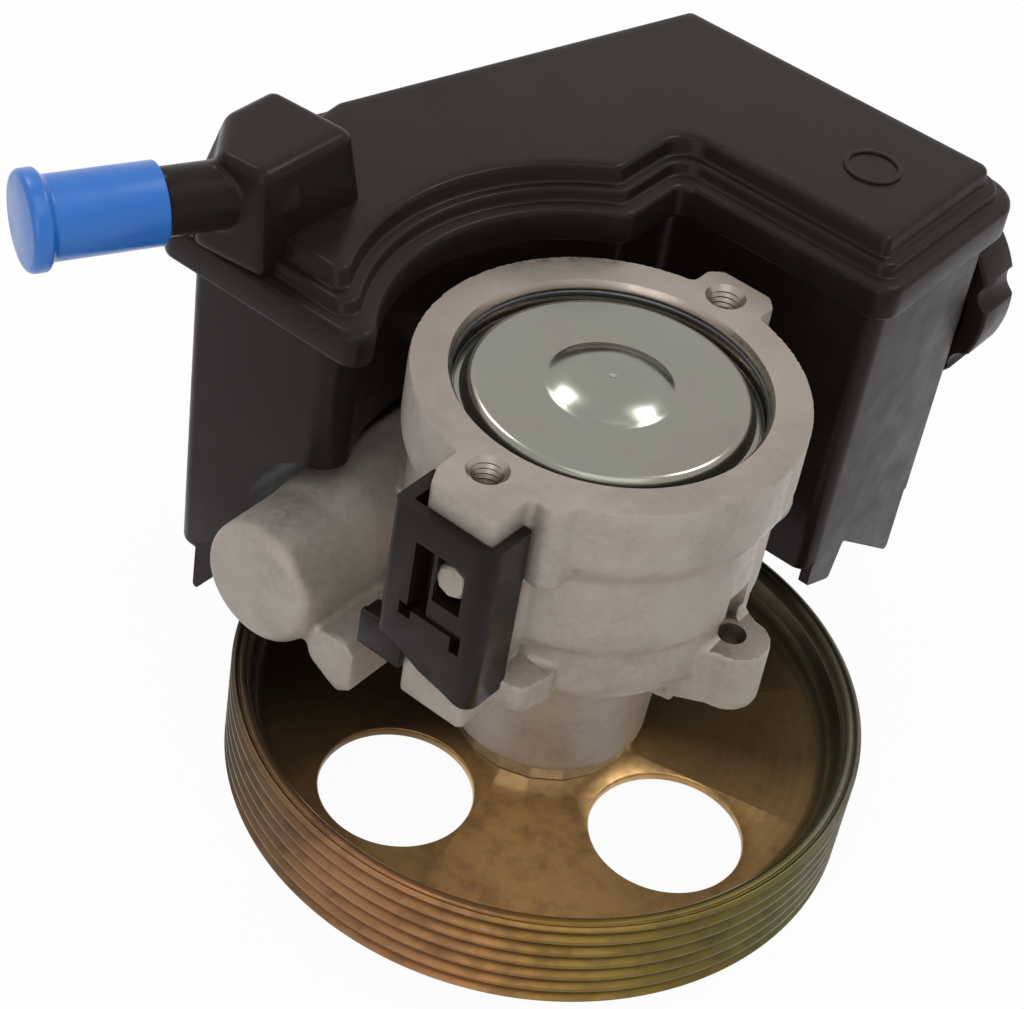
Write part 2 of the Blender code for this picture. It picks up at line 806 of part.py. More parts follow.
def add_valve_body(housing):
    """The valve's closed cylinder beside the body, its collar, and the small port boss below it."""
    frame = along_y(-valve_offset, valve_height)
    cylinder = turned(
        [
            (0, -valve_front),
            (valve_radius - valve_round, -valve_front),
            (valve_radius - valve_round * 0.3, -valve_front + valve_round * 0.35),
            (valve_radius, -valve_front + valve_round),
            (valve_radius, -valve_collar_front - 1.5 * MM),
            (valve_collar_radius, -valve_collar_front),
            (valve_collar_radius, valve_back),
            (0, valve_back),
        ],
        round_steps,
    )
    add_form(housing, "valve cylinder", cylinder, frame)
    port = rod(port_boss_radius, -port_boss_front, -5 * MM, small_steps)
    add_form(housing, "port boss", port, along_y(-port_boss_offset, port_boss_height))
    web = block(
        -valve_offset, -belly_radius * 0.7, -valve_web_front, valve_web_back,
        port_boss_height - 1 * MM, valve_height,
    )
    add_form(housing, "valve web", web)
    web = block(
        -port_boss_offset - port_web_left, -port_boss_offset + port_web_right,
        -port_boss_front + port_web_inset, -valve_web_front + 1 * MM,
        port_boss_height, valve_height - port_web_drop,
    )
    add_form(housing, "port web", web)


def suction_frame():
    """Level frame along the suction tube, its origin on the shaft's axis."""
    return along_heading((0, 0, suction_height), suction_angle)


def make_housing(looks):
    """The cast housing: a turned solid with its bosses joined, then every bore cut."""
    outside, inside = housing_section()
    solid = [(0, nose_bottom), *outside, (0, housing_top)]
    housing = place_object("pump_housing", turned(solid, body_steps), looks["cast"])
    add_ears(housing)
    add_side_features(housing)
    add_outlet(housing)
    add_valve_body(housing)
    boss = rod(suction_boss_radius, pump_bore_radius * 0.8, suction_boss_reach, round_steps)
    add_form(housing, "suction boss", boss, suction_frame())
    bores = [(0, nose_bottom - 1 * MM), (inside[-1][0], nose_bottom - 1 * MM), *reversed(inside[:-1])]
    bores.append((inside[0][0], housing_top + 1 * MM))
    bores.append((0, housing_top + 1 * MM))
    cut_form(housing, "pump bores", turned(bores, body_steps))
    frame = along_y(-valve_offset, valve_height)
    valve_bore = rod(valve_bore_radius, -valve_bore_front, valve_back + 1 * MM, small_steps + 2)
    cut_form(housing, "valve bore", valve_bore, frame)
    outlet_bore = rod(outlet_bore_radius, outlet_reach - outlet_bore_depth, outlet_reach + 1 * MM, small_steps)
    cut_form(housing, "outlet bore", outlet_bore, along_y(outlet_offset, outlet_height))
    hole = rod(suction_radius + fit_gap, pump_bore_radius * 0.9, suction_boss_reach + 1 * MM, inner_steps)
    cut_form(housing, "suction hole", hole, suction_frame())
    return housing


def kidney(start):
    """Plan outline of a kidney shaped port."""
    outer = arc((0, 0), kidney_outer, start, start + kidney_sweep, 5)
    inner = arc((0, 0), kidney_inner, start + kidney_sweep, start, 5)
    return outer + inner


def cut_kidneys(plate, bottom, top):
    """Two suction and two pressure ports, a quarter turn apart."""
    for port in range(4):
        start = math.pi / 4 + math.pi / 2 * port - kidney_sweep / 2
        cut_form(plate, f"{plate.name} port {port + 1}", slab(kidney(start), bottom, top))


def make_front_plate(looks):
    bottom, top = cartridge_levels()["front"]
    outer = pump_bore_radius - fit_gap
    inner = shaft_radius + running_gap
    section = [(inner, bottom), (outer, bottom), (outer, top), (inner, top)]
    plate = place_object("front_plate", turned(section, inner_steps), looks["steel"])
    cut_kidneys(plate, top - dowel_depth, top + 1 * MM)
    cut_dowel_holes(plate, top - dowel_depth - seat_gap, top + 1 * MM)
    return plate


def make_rear_plate(looks):
    bottom, top = cartridge_levels()["rear"]
    outer = pump_bore_radius - fit_gap
    section = [
        (0, top),
        (outer, top),
        (outer, bottom),
        (shaft_spline_radius + running_gap, bottom),
        (shaft_spline_radius + running_gap, bottom + rear_pocket_depth),
        (0, bottom + rear_pocket_depth),
    ]
    plate = place_object("rear_plate", turned(section, inner_steps), looks["steel"])
    cut_kidneys(plate, bottom - 1 * MM, bottom + dowel_depth)
    cut_dowel_holes(plate, bottom - 1 * MM, bottom + dowel_depth + seat_gap)
    return plate


def cut_dowel_holes(target, bottom, top):
    for side in range(2):
        x, y = polar(dowel_circle, math.pi / 2 + math.pi * side)
        cutter = rod(dowel_radius + fit_gap, bottom, top, small_steps)
        cut_form(target, f"{target.name} dowel hole {side + 1}", cutter, Matrix.Translation((x, y, 0)))


def make_dowels(looks):
    bottom = cartridge_levels()["front"][1] - dowel_depth
    top = cartridge_levels()["rear"][0] + dowel_depth
    for side in range(2):
        x, y = polar(dowel_circle, math.pi / 2 + math.pi * side)
        pin = rod(dowel_radius, bottom, top, small_steps)
        place_object(f"dowel_pin_{side + 1}", pin, looks["steel"], Matrix.Translation((x, y, 0)))


def make_cam_ring(looks):
    """Round outside with an oval bore, which the vanes follow."""
    bottom, top = cartridge_levels()["cam"]
    outer = pump_bore_radius - fit_gap
    ring = turned([(0, bottom), (outer, bottom), (outer, top), (0, top)], inner_steps)
    cam = place_object("cam_ring", ring, looks["steel"])
    oval = []
    for step in range(body_steps):
        angle = FULL_TURN * step / body_steps
        oval.append((cam_long_radius * math.cos(angle), cam_short_radius * math.sin(angle)))
    cut_form(cam, "cam oval", slab(oval, bottom - 1 * MM, top + 1 * MM))
    cut_dowel_holes(cam, bottom - 1 * MM, top + 1 * MM)
    return cam


def rotor_levels():
    bottom, top = cartridge_levels()["cam"]
    return bottom + fit_gap, top - fit_gap


def vane_tip():
    """Tip radius at which a vane clears the oval at every angle of the shaft."""
    return cam_short_radius - vane_tip_gap


def make_rotor(looks):
    """Rotor with ten open slots, seated on the shaft's spline."""
    bottom, top = rotor_levels()
    inner = shaft_spline_radius + fit_gap
    section = [(inner, bottom), (rotor_radius, bottom), (rotor_radius, top), (inner, top)]
    rotor = place_object("rotor", turned(section, vane_count * 4), looks["steel"])
    half = vane_thickness / 2 + fit_gap
    for slot in range(vane_count):
        cutter = block(rotor_radius - rotor_slot_depth, rotor_radius + 5 * MM, -half, half, bottom - 1 * MM,
                       top + 1 * MM)
        turn = Matrix.Rotation(FULL_TURN * (slot + 0.5) / vane_count, 4, "Z")
        cut_form(rotor, f"rotor slot {slot + 1}", cutter, turn)
    return rotor


def make_vanes(looks):
    bottom, top = rotor_levels()
    half = vane_thickness / 2
    tip = vane_tip()
    outline = [(tip - vane_length, -half), (tip - half / 2, -half), (tip, 0), (tip - half / 2, half),
               (tip - vane_length, half)]
    for slot in range(vane_count):
        turn = Matrix.Rotation(FULL_TURN * (slot + 0.5) / vane_count, 4, "Z")
        place_object(f"vane_{slot + 1}", slab(outline, bottom, top), looks["dark_steel"], turn)


def make_plate_spring(looks):
    """Conical disc spring that presses the rear plate down."""
    bottom, top = cartridge_levels()["spring"]
    section = [
        (spring_inner_radius, top - spring_thickness),
        (spring_outer_radius, bottom),
        (spring_outer_radius, bottom + spring_thickness),
        (spring_inner_radius, top),
    ]
    return place_object("plate_spring", turned(section, inner_steps), looks["dark_steel"])


def make_cover(looks):
    """Rear cover: stepped rim for the wire ring, flat land, dished middle and a seal groove."""
    bottom, top = cartridge_levels()["cover"]
    outer = pump_bore_radius - fit_gap
    groove_bottom = bottom + 1.1 * MM
    groove_top = groove_bottom + cover_seal_height + 2 * fit_gap
    section = [
        (0, bottom),
        (outer, bottom),
        (outer, groove_bottom),
        (outer - cover_seal_depth, groove_bottom),
        (outer - cover_seal_depth, groove_top),
        (outer, groove_top),
        (outer, top - cover_step),
        (cover_rim_radius + 1.0 * MM, top - cover_step),
        (cover_rim_radius, top),
        (cover_dish_radius, top - 0.35 * MM),
        (cover_dish_inner, top - cover_dish_depth),
        (0, top - cover_dish_depth * 0.8),
    ]
    return place_object("rear_cover", turned(section, body_steps), looks["zinc"])


def make_cover_seal(looks):
    bottom, _ = cartridge_levels()["cover"]
    groove_bottom = bottom + 1.1 * MM + fit_gap
    outer = pump_bore_radius - fit_gap
    inner = outer - cover_seal_depth + fit_gap
    middle = (inner + outer) / 2
    top = groove_bottom + cover_seal_height
    centre = (groove_bottom + top) / 2
    section = [(inner, centre), (middle, groove_bottom), (outer, centre), (middle, top)]
    return place_object("cover_seal", turned(section, body_steps), looks["rubber"])


def make_cover_ring(looks):
    """Sprung wire ring, open by a small gap, in the bore's groove above the cover."""
    level = cover_ring_level()
    half = cover_ring_wire / 2
    outer = pump_bore_radius + cover_ring_grip - fit_gap
    middle = outer - half
    section = []
    for side in range(5):
        angle = FULL_TURN * side / 5
        section.append((middle + half * math.cos(angle), level + half * math.sin(angle)))
    ring = place_object("cover_ring", turned(section, body_steps), looks["zinc"])
    reach = 2 * outer
    wedge = [(0, 0), polar(reach, -cover_ring_opening / 2), polar(reach, cover_ring_opening / 2)]
    turn = Matrix.Rotation(math.radians(110), 4, "Z")
    cut_form(ring, "cover ring gap", slab(wedge, level - 2 * half, level + 2 * half), turn)
    return ring


def make_valve(looks):
    """Flow valve: waisted spool, coil spring against the closed end, and the hexagon plug."""
    frame = along_y(-valve_offset, valve_height)
    radius = valve_bore_radius - fit_gap
    start = -spool_front
    end = start + spool_length
    waist = radius - spool_waist
    fifth = spool_length / 5
    section = [
        (0, start),
        (radius, start),
        (radius, start + fifth),
        (waist, start + 1.4 * fifth),
        (waist, end - 1.4 * fifth),
        (radius, end - fifth),
        (radius, end),
        (0, end),
    ]
    place_object("valve_spool", turned(section, small_steps + 2), looks["steel"], frame)
    plug_bottom = valve_back + seat_gap
    plug_inner = end + seat_gap
    plug = rod(plug_hex_radius + 1.2 * MM, plug_bottom, plug_bottom + 1.6 * MM, small_steps + 2)
    made = place_object("valve_plug", plug, looks["steel"], frame)
    hexagon = rod(plug_hex_radius, plug_bottom + 0.8 * MM, plug_bottom + 0.8 * MM + plug_hex_height, 6)
    add_form(made, "plug hexagon", hexagon, frame)
    neck = rod(valve_bore_radius - fit_gap, plug_inner, plug_bottom + 0.8 * MM, small_steps + 2)
    add_form(made, "plug neck", neck, frame)
    coil_start = -valve_bore_front + seat_gap + valve_spring_wire
    coil_end = start - seat_gap - valve_spring_wire
    coil_radius = valve_bore_radius - 2 * valve_spring_wire - fit_gap
    place_object("valve_spring", coil(coil_radius, valve_spring_wire, coil_start, coil_end, valve_spring_turns),
                 looks["dark_steel"], frame)


def coil(radius, wire, bottom, top, turns):
    """A round wire wound as a helix, closed at both ends."""
    sides = 4
    count = turns * 9
    form = bmesh.new()
    rings = []
    rise = (top - bottom) / count
    for step in range(count + 1):
        angle = FULL_TURN * step * turns / count
        x, y = polar(radius, angle)
        centre = Vector((x, y, bottom + rise * step))
        outward = Vector((math.cos(angle), math.sin(angle), 0))
        upward = Vector((0, 0, 1))
        ring = []
        for side in range(sides):
            tilt = FULL_TURN * side / sides
            ring.append(form.verts.new(centre + wire * (math.cos(tilt) * outward + math.sin(tilt) * upward)))
        rings.append(ring)
    for low, high in zip(rings, rings[1:]):
        for side in range(sides):
            after = (side + 1) % sides
            form.faces.new((low[side], low[after], high[after], high[side]))
    form.faces.new(list(reversed(rings[0])))
    form.faces.new(rings[-1])
    return form


def crossing(first, second):
    """Where two lines meet, each given by a point and a direction."""
    across = first[1].x * second[1].y - first[1].y * second[1].x
    gap = second[0] - first[0]
    along = (gap.x * second[1].y - gap.y * second[1].x) / across
    return first[0] + first[1] * along


def shifted(start, end, inset):
    """The line through two corners of an anticlockwise outline, moved inwards."""
    along = (end - start).normalized()
    inward = Vector((-along.y, along.x))
    return start + inward * inset, along


def rounded(before, corner, after, radius, count):
    """Points of an arc that rounds a corner between two neighbours."""
    back = (before - corner).normalized()
    ahead = (after - corner).normalized()
    half = math.acos(max(-1.0, min(1.0, back.dot(ahead)))) / 2
    centre = corner + (back + ahead).normalized() * radius / math.sin(half)
    first = corner + back * radius / math.tan(half) - centre
    last = corner + ahead * radius / math.tan(half) - centre
    start = math.atan2(first.y, first.x)
    sweep = math.atan2(last.y, last.x) - start
    sweep = (sweep + math.pi) % FULL_TURN - math.pi
    return arc(centre, radius, start, start + sweep, count)


def reservoir_plan(inset, left_inset, back_inset, tip_corner, corner):
    """The reservoir's plan outline, anticlockwise from the front left corner.

    It bends round the pump as an arc about the shaft, then steps back beside the rear ear.
    Insets move the edges inwards from the lid's own edge.
    """
    kink_point = Vector((lid_kink_left, lid_kink_back))
    slant_point = Vector((lid_slant_left, lid_back))
    front_left = Vector((lid_left, lid_front))
    back_right = Vector((lid_right, lid_back))
    front_right = Vector((lid_right, lid_notch_back))
    notch = Vector((lid_notch_side, lid_notch_back))
    left_edge = shifted(kink_point, front_left, left_inset)
    front_edge = shifted(front_left, front_left + Vector((1, 0)), inset)
    notch_edge = shifted(notch - Vector((0, 1)), notch, inset)
    step_edge = shifted(notch, front_right, inset)
    right_edge = shifted(front_right, back_right, inset)
    back_edge = shifted(back_right, slant_point, back_inset)
    slant_edge = shifted(slant_point, kink_point, left_inset)
    edges = [left_edge, front_edge, notch_edge, step_edge, right_edge, back_edge, slant_edge]
    corners = [crossing(edges[0], edges[1])]
    corners += [crossing(low, high) for low, high in zip(edges[2:], edges[3:])]
    corners.append(crossing(edges[-1], edges[0]))
    start, hollow, outer_front, outer_back, slant_back, kink = corners
    recess = lid_recess_radius + inset
    round_corner = max(corner - inset / 2, 0.8 * MM)
    round_back = max(lid_back_round - back_inset, 1.5 * MM)
    round_tip = max(tip_corner - inset / 4, 0.8 * MM)
    round_hollow = lid_notch_corner + inset / 2
    points = rounded(kink, start, start + Vector((1, 0)), round_corner, 3)
    tip_y = start.y + round_tip
    tip_x = -math.sqrt((recess + round_tip) ** 2 - tip_y ** 2)
    points += arc((tip_x, tip_y), round_tip, -math.pi / 2, math.atan2(-tip_y, -tip_x), 3)
    bump = lid_notch_corner
    bump_x = hollow.x - bump
    bump_y = math.sqrt((recess + bump) ** 2 - bump_x ** 2)
    arc_end = math.atan2(bump_y, bump_x) - FULL_TURN
    points += arc((0, 0), recess, math.atan2(tip_y, tip_x), arc_end, 13)[1:-1]
    points += arc((bump_x, bump_y), bump, math.atan2(-bump_y, -bump_x), 0, 2)
    points += rounded(hollow - Vector((0, 1)), hollow, outer_front, round_hollow, 3)
    points += rounded(hollow, outer_front, outer_back, round_corner, 3)
    points += rounded(outer_front, outer_back, slant_back, round_back, 4)
    points += rounded(outer_back, slant_back, kink, round_corner, 2)
    points += rounded(slant_back, kink, start, round_corner, 1)
    return points


def lid_rim(inset):
    """The lid's outline, set in evenly."""
    return reservoir_plan(inset, inset, inset, lid_tip_corner, lid_corner)


def tank_rim(inset):
    """The tank's outline, set in by a wall; the lid overhangs it more on the left and at the back."""
    return reservoir_plan(
        tank_inset + inset, tank_left_inset + inset, tank_back_inset + inset, tank_tip_corner, lid_corner,
    )


def make_lid(looks):
    """Stepped lid with the return elbow moulded on, hollow from below."""
    edge = lid_edge_round
    plateau = lid_plateau_inset
    outlines = [
        (lid_rim(0), lid_bottom),
        (lid_rim(0), lid_flange_top - edge),
        (lid_rim(edge), lid_flange_top),
        (lid_rim(lid_step_inset), lid_flange_top),
        (lid_rim(lid_step_inset + 0.4 * MM), lid_step_top),
        (lid_rim(plateau), lid_step_top),
        (lid_rim(plateau + 0.4 * MM), lid_plateau_top - edge / 2),
        (lid_rim(plateau + edge), lid_plateau_top),
    ]
    lid = place_object("reservoir_lid", loft(outlines), looks["plastic"])
    add_elbow(lid)
    mark_top = lid_plateau_top + lid_mark_height
    ring = [
        (lid_mark_radius - lid_mark_wall, lid_plateau_top - lid_mark_height),
        (lid_mark_radius, lid_plateau_top - lid_mark_height),
        (lid_mark_radius, mark_top),
        (lid_mark_radius - lid_mark_wall, mark_top),
    ]
    add_form(lid, "lid mark", turned(ring, inner_steps), Matrix.Translation((lid_mark_x, lid_mark_y, 0)))
    cut_form(lid, "lid seat", slab(tank_rim(-seat_gap), lid_bottom - 1 * MM, tank_top + seat_gap))
    deep = lid_plateau_inset - tank_inset + tank_wall
    hollow = reservoir_plan(
        tank_inset + deep, tank_left_inset + tank_wall, tank_back_inset + tank_wall, tank_tip_corner, lid_corner,
    )
    cut_form(lid, "lid hollow", slab(hollow, tank_top - 1 * MM, lid_plateau_top - lid_wall))
    root = spigot_root()
    bore_frame = along_heading(root, spigot_heading)
    bore = rod(spigot_bore_radius, -1 * MM, spigot_length + 1 * MM, small_steps)
    cut_form(lid, "spigot bore", bore, bore_frame)
    drop = rod(spigot_bore_radius * 0.98, lid_plateau_top - 2 * lid_wall, root.z, small_steps)
    cut_form(lid, "elbow drop", drop, Matrix.Translation((root.x, root.y, 0)))
    return lid


def spigot_root():
    """Where the spigot's line starts, inside the elbow."""
    return Vector((spigot_root_x, spigot_root_y, spigot_root_z))


def add_elbow(lid):
    """Faceted elbow housing, the round bend beside it and the spigot with its bead."""
    foot = lid_flange_top - 1 * MM
    low = [
        (elbow_left, elbow_back - 1.5 * MM),
        (elbow_left, elbow_front + elbow_cut_side),
        (elbow_left + elbow_cut_front, elbow_front),
        (elbow_right - 0.8 * MM, elbow_front + 1.5 * MM),
        (elbow_right, elbow_back + 1 * MM),
    ]
    high = [
        (elbow_left + elbow_taper, elbow_back - elbow_taper),
        (elbow_left + elbow_taper, elbow_front + elbow_cut_side + elbow_lean),
        (elbow_left + elbow_taper + elbow_cut_front, elbow_front + 1 * MM),
        (elbow_right - 3 * MM, elbow_front + 2.2 * MM),
        (elbow_right - 2.6 * MM, elbow_back - 3 * MM),
    ]
    body = helper("elbow body", loft([(low, foot), (high, elbow_top)]))
    soften(body, elbow_round, 2, math.radians(25))
    combine(lid, body, "UNION")
    bend = turned(
        [
            (0, foot),
            (bend_radius, foot),
            (bend_radius, spigot_root_z),
            (bend_radius * 0.8, spigot_root_z + bend_radius * 0.6),
            (0, spigot_root_z + bend_radius * 0.85),
        ],
        inner_steps,
    )
    add_form(lid, "elbow bend", bend, Matrix.Translation((spigot_root_x, spigot_root_y, 0)))
    bead_end = spigot_length - spigot_bead_back
    tube = turned(
        [
            (0, 0),
            (spigot_radius, 0),
            (spigot_radius, spigot_length - dust_cap_reach()),
            (spigot_radius - spigot_bead, spigot_length - dust_cap_reach()),
            (spigot_radius - spigot_bead, bead_end - spigot_bead_length),
            (spigot_radius, bead_end),
            (spigot_radius - spigot_bead, spigot_length),
            (0, spigot_length),
        ],
        inner_steps,
    )
    add_form(lid, "spigot", tube, along_heading(spigot_root(), spigot_heading))


def dust_cap_reach():
    """How far the protective cap covers the spigot."""
    return dust_cap_length - dust_cap_end - seat_gap


def make_dust_cap(looks):
    """Blue cup over the spigot with a flared lip at its closed end."""
    closed = spigot_length + seat_gap
    mouth = closed + dust_cap_end - dust_cap_length
    inner = spigot_radius + seat_gap
    outer = inner + dust_cap_wall
    end = closed + dust_cap_end
    section = [
        (0, closed),
        (inner, closed),
        (inner, mouth),
        (outer, mouth),
        (outer, end - dust_cap_lip_length),
        (outer + dust_cap_lip, end - dust_cap_lip_length * 0.6),
        (outer + dust_cap_lip, end - 0.6 * MM),
        (outer + dust_cap_lip - 0.6 * MM, end),
        (0, end),
    ]
    frame = along_heading(spigot_root(), spigot_heading)
    return place_object("spigot_cap", turned(section, inner_steps), looks["blue"], frame)


def tank_solid(inset, bottom, top):
    """Closed solid of the tank's outline, set in by some wall and drawn in a little towards its bottom."""
    draft = tank_draft * (tank_top - bottom) / (tank_top - tank_bottom)
    low = reservoir_plan(
        tank_inset + inset, tank_left_inset + inset + draft, tank_back_inset + inset, tank_tip_corner, lid_corner,
    )
    return loft([(low, bottom), (tank_rim(inset), top)])


def valve_arch(gap):
    """Arch over the valve cylinder, open downwards, for cutting the tank's front."""
    radius = valve_collar_radius + gap
    outline = arc((-valve_offset, valve_height), radius, 0, math.pi, 8)
    outline += [(-valve_offset - radius, 0), (-valve_offset + radius, 0)]
    form = slab(outline, -valve_arch_back - gap + valve_arch_gap, -lid_front + 1 * MM)
    return form


def make_tank(looks):
    """Moulded tank: outer form, the valve's arch, filler neck and skirts, then the hollow."""
    tank = place_object("reservoir_tank", tank_solid(0, tank_bottom, tank_top), looks["plastic"])
    upright = Matrix.Rotation(math.pi / 2, 4, "X")
    cut_form(tank, "valve arch", valve_arch(valve_arch_gap), upright)
    neck_frame = along_y(filler_offset, filler_height)
    tank_back = lid_back - tank_back_inset
    neck_end = tank_back + neck_length
    neck = rod(neck_radius, tank_back - tank_wall, neck_end, inner_steps)
    add_form(tank, "filler neck", neck, neck_frame)
    add_skirts(tank)
    hollow = helper("tank hollow", tank_solid(tank_wall, tank_bottom + tank_wall, tank_top + 1 * MM))
    cut_form(hollow, "arch wall", valve_arch(valve_arch_gap + tank_wall), upright)
    combine(tank, hollow, "DIFFERENCE")
    mouth = rod(neck_radius - neck_wall, tank_back - 2 * tank_wall, neck_end + 1 * MM, inner_steps)
    cut_form(tank, "filler mouth", mouth, neck_frame)
    hole = rod(suction_radius + fit_gap, suction_boss_reach, suction_end(), inner_steps)
    cut_form(tank, "suction opening", hole, suction_frame())
    return tank


def add_skirts(tank):
    """Ribs that run on below the tank's bottom at its corners."""
    front = lid_front + tank_inset
    left = lid_left + tank_left_inset + tank_draft
    right = lid_right - tank_inset
    side = lid_notch_back + tank_inset
    back = lid_back - tank_back_inset
    thick = skirt_thickness
    into = 1 * MM
    level = tank_bottom + into
    upright = Matrix.Rotation(math.pi / 2, 4, "X")
    across = Matrix.Rotation(math.pi / 2, 4, "Z") @ upright
    left_rib = [
        (left + lid_corner, level),
        (left + lid_corner, tank_bottom - left_skirt_drop),
        (left + lid_corner + left_skirt_run, level),
    ]
    add_form(tank, "left skirt", slab(left_rib, -front - thick, -front), upright)
    back_rib = [
        (back - 2 * MM, level),
        (back - 2 * MM, tank_bottom - right_skirt_drop),
        (back - 2 * MM - right_skirt_run, level),
    ]
    add_form(tank, "right back skirt", slab(back_rib, right - thick, right), across)
    step_rib = [
        (side + lid_corner / 2, level),
        (side + lid_corner / 2, tank_bottom - step_skirt_drop / 2),
        (side + step_skirt_run, tank_bottom - step_skirt_drop),
        (side + step_skirt_run + 2 * MM, level),
    ]
    add_form(tank, "right front skirt", slab(step_rib, right - thick, right), across)


def make_filler_cap(looks):
    """Screw cap over the filler neck, with scalloped grip lobes and a sunk end panel."""
    frame = along_y(filler_offset, filler_height)
    neck_end = lid_back - tank_back_inset + neck_length
    inner_end = neck_end + seat_gap + cap_seal_section + seat_gap
    end = inner_end + cap_end
    mouth = end - cap_depth
    inner = neck_radius + running_gap
    panel = cap_radius - cap_panel_inset
    section = [
        (0, inner_end),
        (inner, inner_end),
        (inner, mouth),
        (cap_radius - 0.8 * MM, mouth),
        (cap_radius, mouth + 0.8 * MM),
        (cap_radius, end - 1.2 * MM),
        (cap_radius - 1.2 * MM, end),
        (panel, end),
        (panel - 0.8 * MM, end - cap_panel_depth),
        (0, end - cap_panel_depth),
    ]
    cap = place_object("filler_cap", turned(section, round_steps), looks["plastic"], frame)
    reach = cap_radius + cap_lobe_cut_radius - cap_lobe_cut_depth
    for lobe in range(cap_lobe_count):
        x, y = polar(reach, cap_lobe_phase + FULL_TURN * lobe / cap_lobe_count)
        cutter = rod(cap_lobe_cut_radius, mouth - 1 * MM, end + 1 * MM, small_steps)
        cut_form(cap, f"cap scallop {lobe + 1}", cutter, frame @ Matrix.Translation((x, y, 0)))
    seal_bottom = neck_end + seat_gap
    seal_top = seal_bottom + cap_seal_section
    outer = neck_radius
    hollow = neck_radius - neck_wall
    ring = [(hollow, seal_bottom), (outer, seal_bottom), (outer, seal_top), (hollow, seal_top)]
    place_object("filler_cap_seal", turned(ring, inner_steps), looks["rubber"], frame)
    return cap


def strainer_start():
    """Where the strainer begins on the suction tube, just inside the tank's wall."""
    return lid_recess_radius + tank_inset + tank_wall + strainer_gap


def suction_end():
    """The tube's end inside the strainer."""
    return strainer_start() + strainer_grip


def make_suction_tube(looks):
    """Tube from the tank into the housing, its collar against the tank's wall, and its seal."""
    outer = suction_radius
    inner = outer - suction_wall
    tank_face = lid_recess_radius + tank_inset
    collar_radius = outer + suction_collar
    collar_back = math.sqrt(tank_face ** 2 - collar_radius ** 2) - 2 * seat_gap
    collar_front = collar_back - suction_collar
    section = [
        (inner, suction_inner_reach),
        (outer, suction_inner_reach),
        (outer, collar_front),
        (collar_radius, collar_front),
        (collar_radius, collar_back),
        (outer, collar_back),
        (outer, suction_end()),
        (inner, suction_end()),
    ]
    place_object("suction_tube", turned(section, inner_steps), looks["mesh"], suction_frame())
    seal_back = collar_front - seat_gap
    seal_front = suction_boss_reach + seat_gap
    seal_outer = suction_radius + suction_seal_section
    seal_inner = suction_radius + fit_gap
    ring = [
        (seal_inner, seal_front),
        (seal_outer, seal_front),
        (seal_outer, seal_back),
        (seal_inner, seal_back),
    ]
    place_object("suction_seal", turned(ring, inner_steps), looks["rubber"], suction_frame())


def make_strainer(looks):
    """Cup shaped strainer on the suction tube's inner end, with open windows."""
    inner_end = strainer_start()
    end = inner_end + strainer_length
    bore = suction_radius + fit_gap
    room = strainer_radius - strainer_wall
    section = [
        (bore, inner_end),
        (strainer_radius, inner_end),
        (strainer_radius, end),
        (0, end),
        (0, end - strainer_wall),
        (room, end - strainer_wall),
        (room, inner_end + strainer_wall),
        (bore, inner_end + strainer_wall),
    ]
    strainer = place_object("strainer", turned(section, inner_steps), looks["mesh"], suction_frame())
    half = strainer_window_width / 2
    for window in range(strainer_window_count):
        turn = Matrix.Rotation(FULL_TURN * window / strainer_window_count, 4, "Z")
        cutter = block(room - 2 * MM, strainer_radius + 2 * MM, -half, half, inner_end + 2.5 * strainer_wall,
                       end - 2.5 * strainer_wall)
        cut_form(strainer, f"strainer window {window + 1}", cutter, suction_frame() @ turn)


def make_clip(looks):
    """Bracket clip: front plate with its tongue window, and two sides that grip the ear's rib."""
    back = -front_ear_reach - seat_gap
    front = back - clip_plate
    left_inner = front_ear_left - seat_gap
    right_inner = front_ear_right + seat_gap
    corner = clip_corner
    middle = (clip_left + clip_right) / 2
    face = [
        (clip_left, clip_bottom + corner),
        (middle - corner, clip_bottom + 0.5 * corner),
        (middle, clip_bottom + 0.1 * corner),
        (middle + corner, clip_bottom),
        (clip_right - 0.4 * corner, clip_bottom + 0.1 * corner),
        (clip_right, clip_bottom + 0.5 * corner),
        (clip_right, clip_top),
        (clip_left, clip_top),
    ]
    upright = Matrix.Rotation(math.pi / 2, 4, "X")
    clip = place_object("bracket_clip", slab(face, -back - clip_side_depth, -front), looks["plastic"], upright)
    channel = block(left_inner, right_inner, back, -front_ear_reach + clip_side_depth + 2 * MM,
                    front_ear_foot - 5 * MM, clip_top + 1 * MM)
    cut_form(clip, "rib channel", channel)
    hook_front = front + clip_plate / 2
    hook_bottom = clip_bottom - clip_hook_drop
    hook = block(
        clip_left - clip_hook_reach, left_inner,
        hook_front, hook_front + clip_hook_depth,
        hook_bottom, hook_bottom + clip_hook_height,
    )
    add_form(clip, "clip hook", hook)
    slot_right = clip_window_left + clip_window_width
    view_left = slot_right + clip_tongue_width
    view_right = view_left + clip_view_width
    windows = {
        "tongue slot": (clip_window_left, slot_right, clip_window_bottom, clip_window_top),
        "view window": (view_left, view_right, clip_window_bottom + 5 * MM, clip_window_top + 1 * MM),
        "tongue foot": (clip_window_left - 2 * MM, clip_window_left + 1 * MM, clip_window_bottom - 2.2 * MM,
                        clip_window_bottom + 0.8 * MM),
        "lower slot": (view_right - 0.4 * MM, view_right - 0.4 * MM + clip_slot_width,
                       clip_window_bottom - clip_slot_height, clip_window_bottom),
    }
    for name, (left, right, bottom, top) in windows.items():
        cut_form(clip, f"clip {name}", block(left, right, front - 1 * MM, back + 1 * MM, bottom, top))
    return clip


